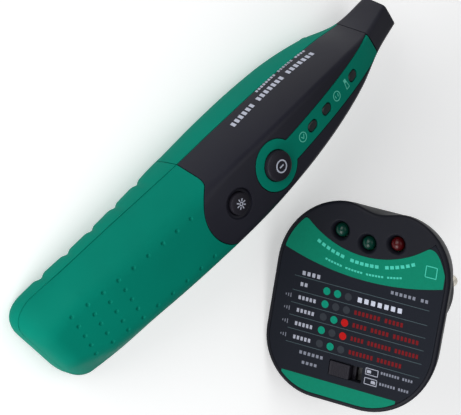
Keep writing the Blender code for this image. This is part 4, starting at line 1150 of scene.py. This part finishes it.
# ---------------- transmitter: pieces
def transmitter_shells(mats, home):
    """The housing's two shells and its label, placed by home."""
    depths = depths_between(0.0, BODY_DEPTH)
    surface_bm = loft([face_ring()] + housing_rings(0.0, depths), False)
    surface_bm.verts.ensure_lookup_table()
    surface_bm.faces.new(surface_bm.verts[:len(face_ring())])
    surface_bm.normal_update()
    bmesh.ops.transform(surface_bm, matrix=unit_matrix(home), verts=surface_bm.verts)
    surface = Surface(surface_bm)

    front_room = tool(loft(housing_rings(2.0, [2.2, 5.0, 9.0, FRONT_SHELL_DEPTH + 2])))
    label_room = tool(prism(label_outline(LABEL_INSET), -LABEL_THICK - 0.1, 5))
    slot_half = (SLOT_SIZE[0] / 2, SLOT_SIZE[1] / 2)
    slot = tool(box((SLOT_CENTRE[0] - slot_half[0], SLOT_CENTRE[1] - slot_half[1], -6),
                    (SLOT_CENTRE[0] + slot_half[0], SLOT_CENTRE[1] + slot_half[1], 5)))
    lamp_holes = [tool(turned(spot, LAMP_HOLE_PROFILE, 56)) for spot in STATUS_LEDS]
    front_rings = [face_ring()] + housing_rings(0.0, depths_between(0.0, FRONT_SHELL_DEPTH - GAP / 2))
    add_piece("transmitter_front", loft(front_rings), mats["housing"],
              ("transmitter", "dark_plastic", "transmitter_front_shell"),
              cuts(front_room, label_room, slot, *lamp_holes), surface, matrix=home)
    film = prism(label_outline(LABEL_INSET + 0.15), -LABEL_THICK + 0.1, -0.02)
    add_piece("label_film", film, mats["label"],
              ("transmitter", "label_film", "face_label"), cuts(slot), matrix=home)
    back_rings = housing_rings(0.0, depths_between(FRONT_SHELL_DEPTH + GAP / 2, BODY_DEPTH))
    add_piece("transmitter_back", loft(back_rings), mats["housing"],
              ("transmitter", "dark_plastic", "transmitter_back_shell"),
              transmitter_back_steps(), surface, matrix=home)


def unit_matrix(home):
    """The transmitter's pose for points in millimetres."""
    return Matrix.Scale(1 / MM, 4) @ home @ Matrix.Scale(MM, 4)


def transmitter_back_steps():
    """The plug boss, the room inside, the holes for the clips and pins, and the screw posts."""
    end = -BODY_DEPTH - BOSS_DEPTH
    rims = [(BOSS_RADIUS - 1.2, end), (BOSS_RADIUS - 0.6, end + 0.15), (BOSS_RADIUS - 0.2, end + 0.5),
            (BOSS_RADIUS, end + 1.1), (BOSS_RADIUS, -BODY_DEPTH + 2)]
    steps = adds(tool(turned((0, 0), rims, 96)))
    steps += cuts(tool(loft(housing_rings(2.0, [8.0, 12.0, 16.0, 20.0, BODY_DEPTH - 2.2]))))
    for side in (1, -1):
        low, high = side * BOSS_RADIUS - CLIP_DEPTH, side * BOSS_RADIUS + CLIP_DEPTH
        half = CLIP_HALF_WIDTH + 0.4
        steps += cuts(tool(box((-half, low, end - 3), (half, high, -BODY_DEPTH - 2.0))))
        steps += cuts(drill((side * PIN_SPACING / 2, 0), PIN_RADIUS + GAP, end - 3, PIN_INNER_END - 2, 40))
    post_top = TX_BOARD_TOP - TX_BOARD_THICK - GAP
    for spot in TX_SCREWS:
        steps += adds(drill(spot, SCREW_POST_RADIUS, -BODY_DEPTH + 1, post_top, 32))
        steps += cuts(drill(spot, SCREW_HEAD_RADIUS + GAP, -40, TX_HEAD_SEAT, 40),
                      drill(spot, SCREW_SHANK_RADIUS + GAP, -40, post_top - 1.4, 24))
    return steps


def lamps(mats, home):
    """The three domed status lamps: two green, then a red one."""
    profile = [(LED_RADIUS, TX_BOARD_TOP + GAP), (LED_RADIUS, -2.0)]
    for k in range(1, 13):
        turn = math.pi / 2 * k / 12
        profile.append((max(LED_RADIUS * math.cos(turn), 0.04), -2.0 + 2.4 * math.sin(turn)))
    for i, (spot, kind) in enumerate(zip(STATUS_LEDS, ("green_lens", "green_lens", "red_lens")), 1):
        add_piece(f"lamp_{i}", turned(spot, profile, 56), mats[kind],
                  ("transmitter", kind, f"status_led_{i}"), angle=60.0, matrix=home)


def slide_knob(mats, home):
    """The slide switch's knob, with rounded ribs across it."""
    half_x, half_y = KNOB_SIZE[0] / 2, KNOB_SIZE[1] / 2
    left_end = [(-half_x, 0.1), (-half_x + 0.12, 0.45), (-half_x + 0.45, 0.62)]
    right_end = [(half_x - 0.8, 0.5)] + [(-x, z) for x, z in reversed(left_end)]
    pitch = (2 * half_x - 1.6) / KNOB_RIBS
    ribs = []
    for i in range(KNOB_RIBS):
        ribs += [(-half_x + 0.8 + pitch * (i + share), z) for share, z in KNOB_RIB_PROFILE]
    outline = [(-half_x, KNOB_FOOT_Z)] + left_end + ribs + right_end + [(half_x, KNOB_FOOT_Z)]
    flange = tool(box((-5.4, -4.2, KNOB_FOOT_Z), (5.4, 4.2, -2.6)))
    place = home @ Matrix.Translation(Vector((KNOB_X, SLOT_CENTRE[1], 0)) * MM)
    add_piece("slide_knob", side_prism(outline, half_y), mats["button"],
              ("mode_switch_knob", "button_plastic", "mode_switch_knob"), adds(flange),
              angle=40.0, matrix=place)


def pins(mats, home):
    """The two turned plug pins, with rounded tips."""
    tip = -BODY_DEPTH - BOSS_DEPTH - PIN_LENGTH
    profile = []
    for k in range(9):
        turn = math.pi / 2 * k / 8
        profile.append((PIN_RADIUS - PIN_TIP_ROUND + PIN_TIP_ROUND * math.sin(turn),
                        tip + PIN_TIP_ROUND * (1 - math.cos(turn))))
    profile.append((PIN_RADIUS, PIN_INNER_END))
    for name, side in (("live_pin", 1), ("neutral_pin", -1)):
        add_piece("turned_" + name, turned((side * PIN_SPACING / 2, 0), profile, 48), mats["brass"],
                  ("transmitter", "plated_brass", name), angle=40.0, matrix=home)


def face_prints(mats, home):
    """The label's print: green panels, dot rows, dividing lines, and plain dashed bars for the legends."""

    def put(name, strokes, ink_name, lift=0.02):
        printed(name, strokes, on_face, mats[ink_name], "transmitter", "label_film", home, 0.04, lift)

    put("label_panels", [crescent(), bottom_panel()], "green_ink", 0.0)
    rows = (3.0, -1.9, -6.7, -11.7, -16.8)
    borders = (5.8, 0.4, -4.3, -9.0, -14.0, -19.1)
    put("label_lines", [slab(-26.1, 27.4, y - 0.1, y + 0.1) for y in borders], "line_ink")
    codes = ("GG-", "G--", "-GR", "G-R", "-G-")
    dots = {"G": [], "R": [], "-": []}
    for y, code in zip(rows, codes):
        for x, kind in zip((-12.7, -8.4, -4.1), code):
            dots[kind].append(disc((x, y), 1.4))
    put("label_green_dots", dots["G"], "dot_green_ink")
    put("label_red_dots", dots["R"], "bright_red_ink")
    put("label_grey_dots", dots["-"], "grey_ink")
    put("label_white_legend", legend(-0.3, 18.1, 2.1, 3.9, (7,)), "white_ink")
    pale = legend(-23.1, -15.3, 6.6, 8.1, (4,)) + legend(-23.3, -19.9, 2.4, 3.8, (2,))
    for y in rows[1:]:
        pale += legend(-23.4, -15.9, y - 0.7, y + 0.7, (5,))
    put("label_pale_legends", pale, "soft_white_ink")
    waves = []
    for y in rows[1:]:
        for k in range(3):
            x, half = -28.4 + 0.95 * k, 0.35 + 0.22 * k
            waves.append(line((x, y - half), (x, y + half), 0.32))
    for left, right, low, high, words in (
            (-20.1, -10.0, -22.4, -21.2, (6,)), (-18.6, -12.0, -25.9, -24.8, (4,)),
            (12.6, 25.4, -21.7, -20.7, (7, 4)), (12.6, 24.4, -25.8, -24.8, (6, 4)),
            (11.9, 27.0, 8.2, 9.4, (6, 2))):
        waves += legend(left, right, low, high, words)
    put("label_dim_legends", waves, "dim_ink")
    red = []
    for y, right, words in zip(rows[1:], (18.8, 25.6, 26.2, 20.4), ((7, 5), (4, 5, 7), (4, 7, 7), (7, 7))):
        red += legend(-0.9, right, y - 0.8, y + 0.8, words)
    put("label_red_legends", red, "red_ink")
    icons = []
    for y, block in ((-21.9, 7.2), (-25.5, 9.3)):
        corners = [(6.7, y - 1.15), (11.5, y - 1.15), (11.5, y + 1.15), (6.7, y + 1.15)]
        icons += frame_of(corners, 0.26)
        icons.append(slab(block, block + 1.6, y - 0.55, y + 0.55))
    put("label_position_icons", icons, "soft_white_ink")
    arc_legends = arc_legend(-19.0, 20.0, 42.0, 16.2, 1.2, 20) + arc_legend(-15.0, 15.5, 60.0, 12.9, 0.7, 26)
    put("label_arc_legends", arc_legends, "pale_green_ink")
    outer = [(23.8, 17.6), (28.0, 17.6), (28.0, 21.6), (23.8, 21.6)]
    put("label_corner_mark", frame_of(outer, 0.3), "pale_green_ink")


def frame_of(corners, width):
    """Four strokes round a rectangle."""
    strokes = []
    for i, corner in enumerate(corners):
        after = corners[(i + 1) % len(corners)]
        along = (Vector(after) - Vector(corner)).normalized() * (width / 2)
        strokes.append(line(Vector(corner) - along, Vector(after) + along, width))
    return strokes


def arc_legend(left, right, radius, low_y, height, count):
    """Dashes that follow an arc, low in the middle."""
    strokes = []
    pitch = (right - left) / count
    for i in range(count):
        if i % 7 == 6:
            continue
        x0 = left + pitch * i
        middle = x0 + pitch * 0.36
        y = low_y + radius - math.sqrt(radius**2 - middle**2)
        tilt = Vector((math.sqrt(radius**2 - middle**2), middle)).normalized() * (pitch * 0.36)
        strokes.append(line(Vector((middle, y)) - tilt, Vector((middle, y)) + tilt, height))
    return strokes


def crescent():
    """The green panel under the lamps, between two arcs, as pairs from left to right."""
    upper = sorted(point for point in face_outline(LABEL_INSET + 0.3) if point[1] > 5.0)
    pairs = []
    reach = 31.9
    for i in range(91):
        x = -reach + 2 * reach * i / 90
        low = 10.4 + 105.0 - math.sqrt(105.0**2 - (x - 1.5) ** 2)
        arc = label_arc(x) + 0.5 if abs(x) < 30 else 99.0
        round_end = 27.6 - max(0.0, abs(x) - 24.8) ** 2 * 0.2
        high = min(arc - 0.7, height_at(upper, x), round_end)
        if high > low + 0.15:
            pairs.append(((x, high), (x, low)))
    return pairs


def bottom_panel():
    """The green panel along the label's bottom edge."""
    outline = [p for p in face_outline(LABEL_INSET + 0.2) if p[1] < -29.9]
    pairs = []
    for x, y in sorted(outline):
        pairs.append(((x, -29.9), (x, min(y, -29.95))))
    return pairs


# ---------------- pieces kept from the CAD
def paint_kept_nodes(mats):
    painted = {
        "board": ("main_board", "transmitter_board"),
        "resin": ("processor_chip", "amplifier_chip", "buzzer", "power_switch", "light_switch",
                  "battery_snap", "mode_switch_body", "signal_chip", "fuse"),
        "ferrite": ("antenna_core", "mains_capacitor", "coupling_transformer"),
        "steel": ("case_screw_1", "case_screw_2", "case_screw_3", "plug_case_screw_1", "plug_case_screw_2",
                  "plug_case_screw_3", "plug_case_screw_4", "earth_contact_1", "earth_contact_2"),
        "copper": ("antenna_coil", "filter_choke"),
        "battery": ("battery",),
        "red_wire": ("battery_lead_red",),
        "button": ("battery_lead_black",),
        "green_lens": ("indicator_led_1", "indicator_led_2", "indicator_led_3"),
        "clear_lens": ("torch_led",),
    }
    for key, names in painted.items():
        for name in names:
            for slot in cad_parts[name].material_slots:
                slot.material = mats[key]


# ---------------- studio
# The camera, in metres, with the directions that lie right and up in the picture
CAMERA_PLACE = (-0.3664, 0.4520, 0.7222)
CAMERA_RIGHT = (0.62677753, -0.4560076, 0.63182829)
CAMERA_UP = (0.6657637, 0.7347199, -0.1301744)
CAMERA_LENS = 205.9
CAMERA_SHIFT = (-0.046, -0.0336)
# Each light: name, direction from the objects, distance and size in metres, power
LIGHTS = [
    ("key", (-0.42, 0.86, 0.3), 1.0, 0.9, 7.4),
    ("tail", (-0.93, -0.1, 0.2), 0.9, 0.6, 6.4),
    ("top", (0.25, 0.1, 1.0), 1.1, 1.0, 2.4),
]


def studio():
    floor_bm = bmesh.new()
    bmesh.ops.create_grid(floor_bm, x_segments=1, y_segments=1, size=3000.0)
    floor = new_object("studio_floor", floor_bm, floor_paint())

    world = bpy.data.worlds.new("studio")
    world.use_nodes = True
    world.node_tree.nodes["Background"].inputs["Color"].default_value = (0.96, 0.98, 1.0, 1.0)
    world.node_tree.nodes["Background"].inputs["Strength"].default_value = 0.27
    bpy.context.scene.world = world

    aim = Vector((0.0, -0.02, 0.02))
    for name, direction, distance, size, power in LIGHTS:
        lamp = bpy.data.lights.new(name, "AREA")
        lamp.shape = "DISK"
        lamp.size = size
        lamp.energy = power
        placed = bpy.data.objects.new(name, lamp)
        bpy.context.scene.collection.objects.link(placed)
        toward = Vector(direction).normalized()
        placed.location = aim + toward * distance
        placed.rotation_euler = toward.to_track_quat("Z", "Y").to_euler()

    optics = bpy.data.cameras.new("camera")
    optics.sensor_width = 36.0
    optics.lens = CAMERA_LENS
    optics.shift_x, optics.shift_y = CAMERA_SHIFT
    optics.clip_start = 0.01
    camera = bpy.data.objects.new("camera", optics)
    bpy.context.scene.collection.objects.link(camera)
    right, up = Vector(CAMERA_RIGHT), Vector(CAMERA_UP)
    turn = Matrix((right, up, right.cross(up))).transposed().to_4x4()
    camera.matrix_world = Matrix.Translation(CAMERA_PLACE) @ turn
    bpy.context.scene.camera = camera
    bpy.context.scene.view_settings.view_transform = "Standard"


def build():
    mats = make_materials()
    surface = receiver_shells(mats)
    power = button("power_dome", POWER_BUTTON_X, POWER_BUTTON_RADIUS, POWER_BUTTON_TOP_Z, 1.2,
                   mats["button"], "power_button")
    light = button("light_dome", LIGHT_BUTTON_X, LIGHT_BUTTON_RADIUS, LIGHT_BUTTON_TOP_Z, 0.5,
                   mats["button"], "light_button")
    windows(mats)
    receiver_prints(mats, surface, power, light)
    home = transmitter_matrix()
    transmitter_shells(mats, home)
    lamps(mats, home)
    slide_knob(mats, home)
    pins(mats, home)
    face_prints(mats, home)
    paint_kept_nodes(mats)
    remove_tools()
    studio()


build()
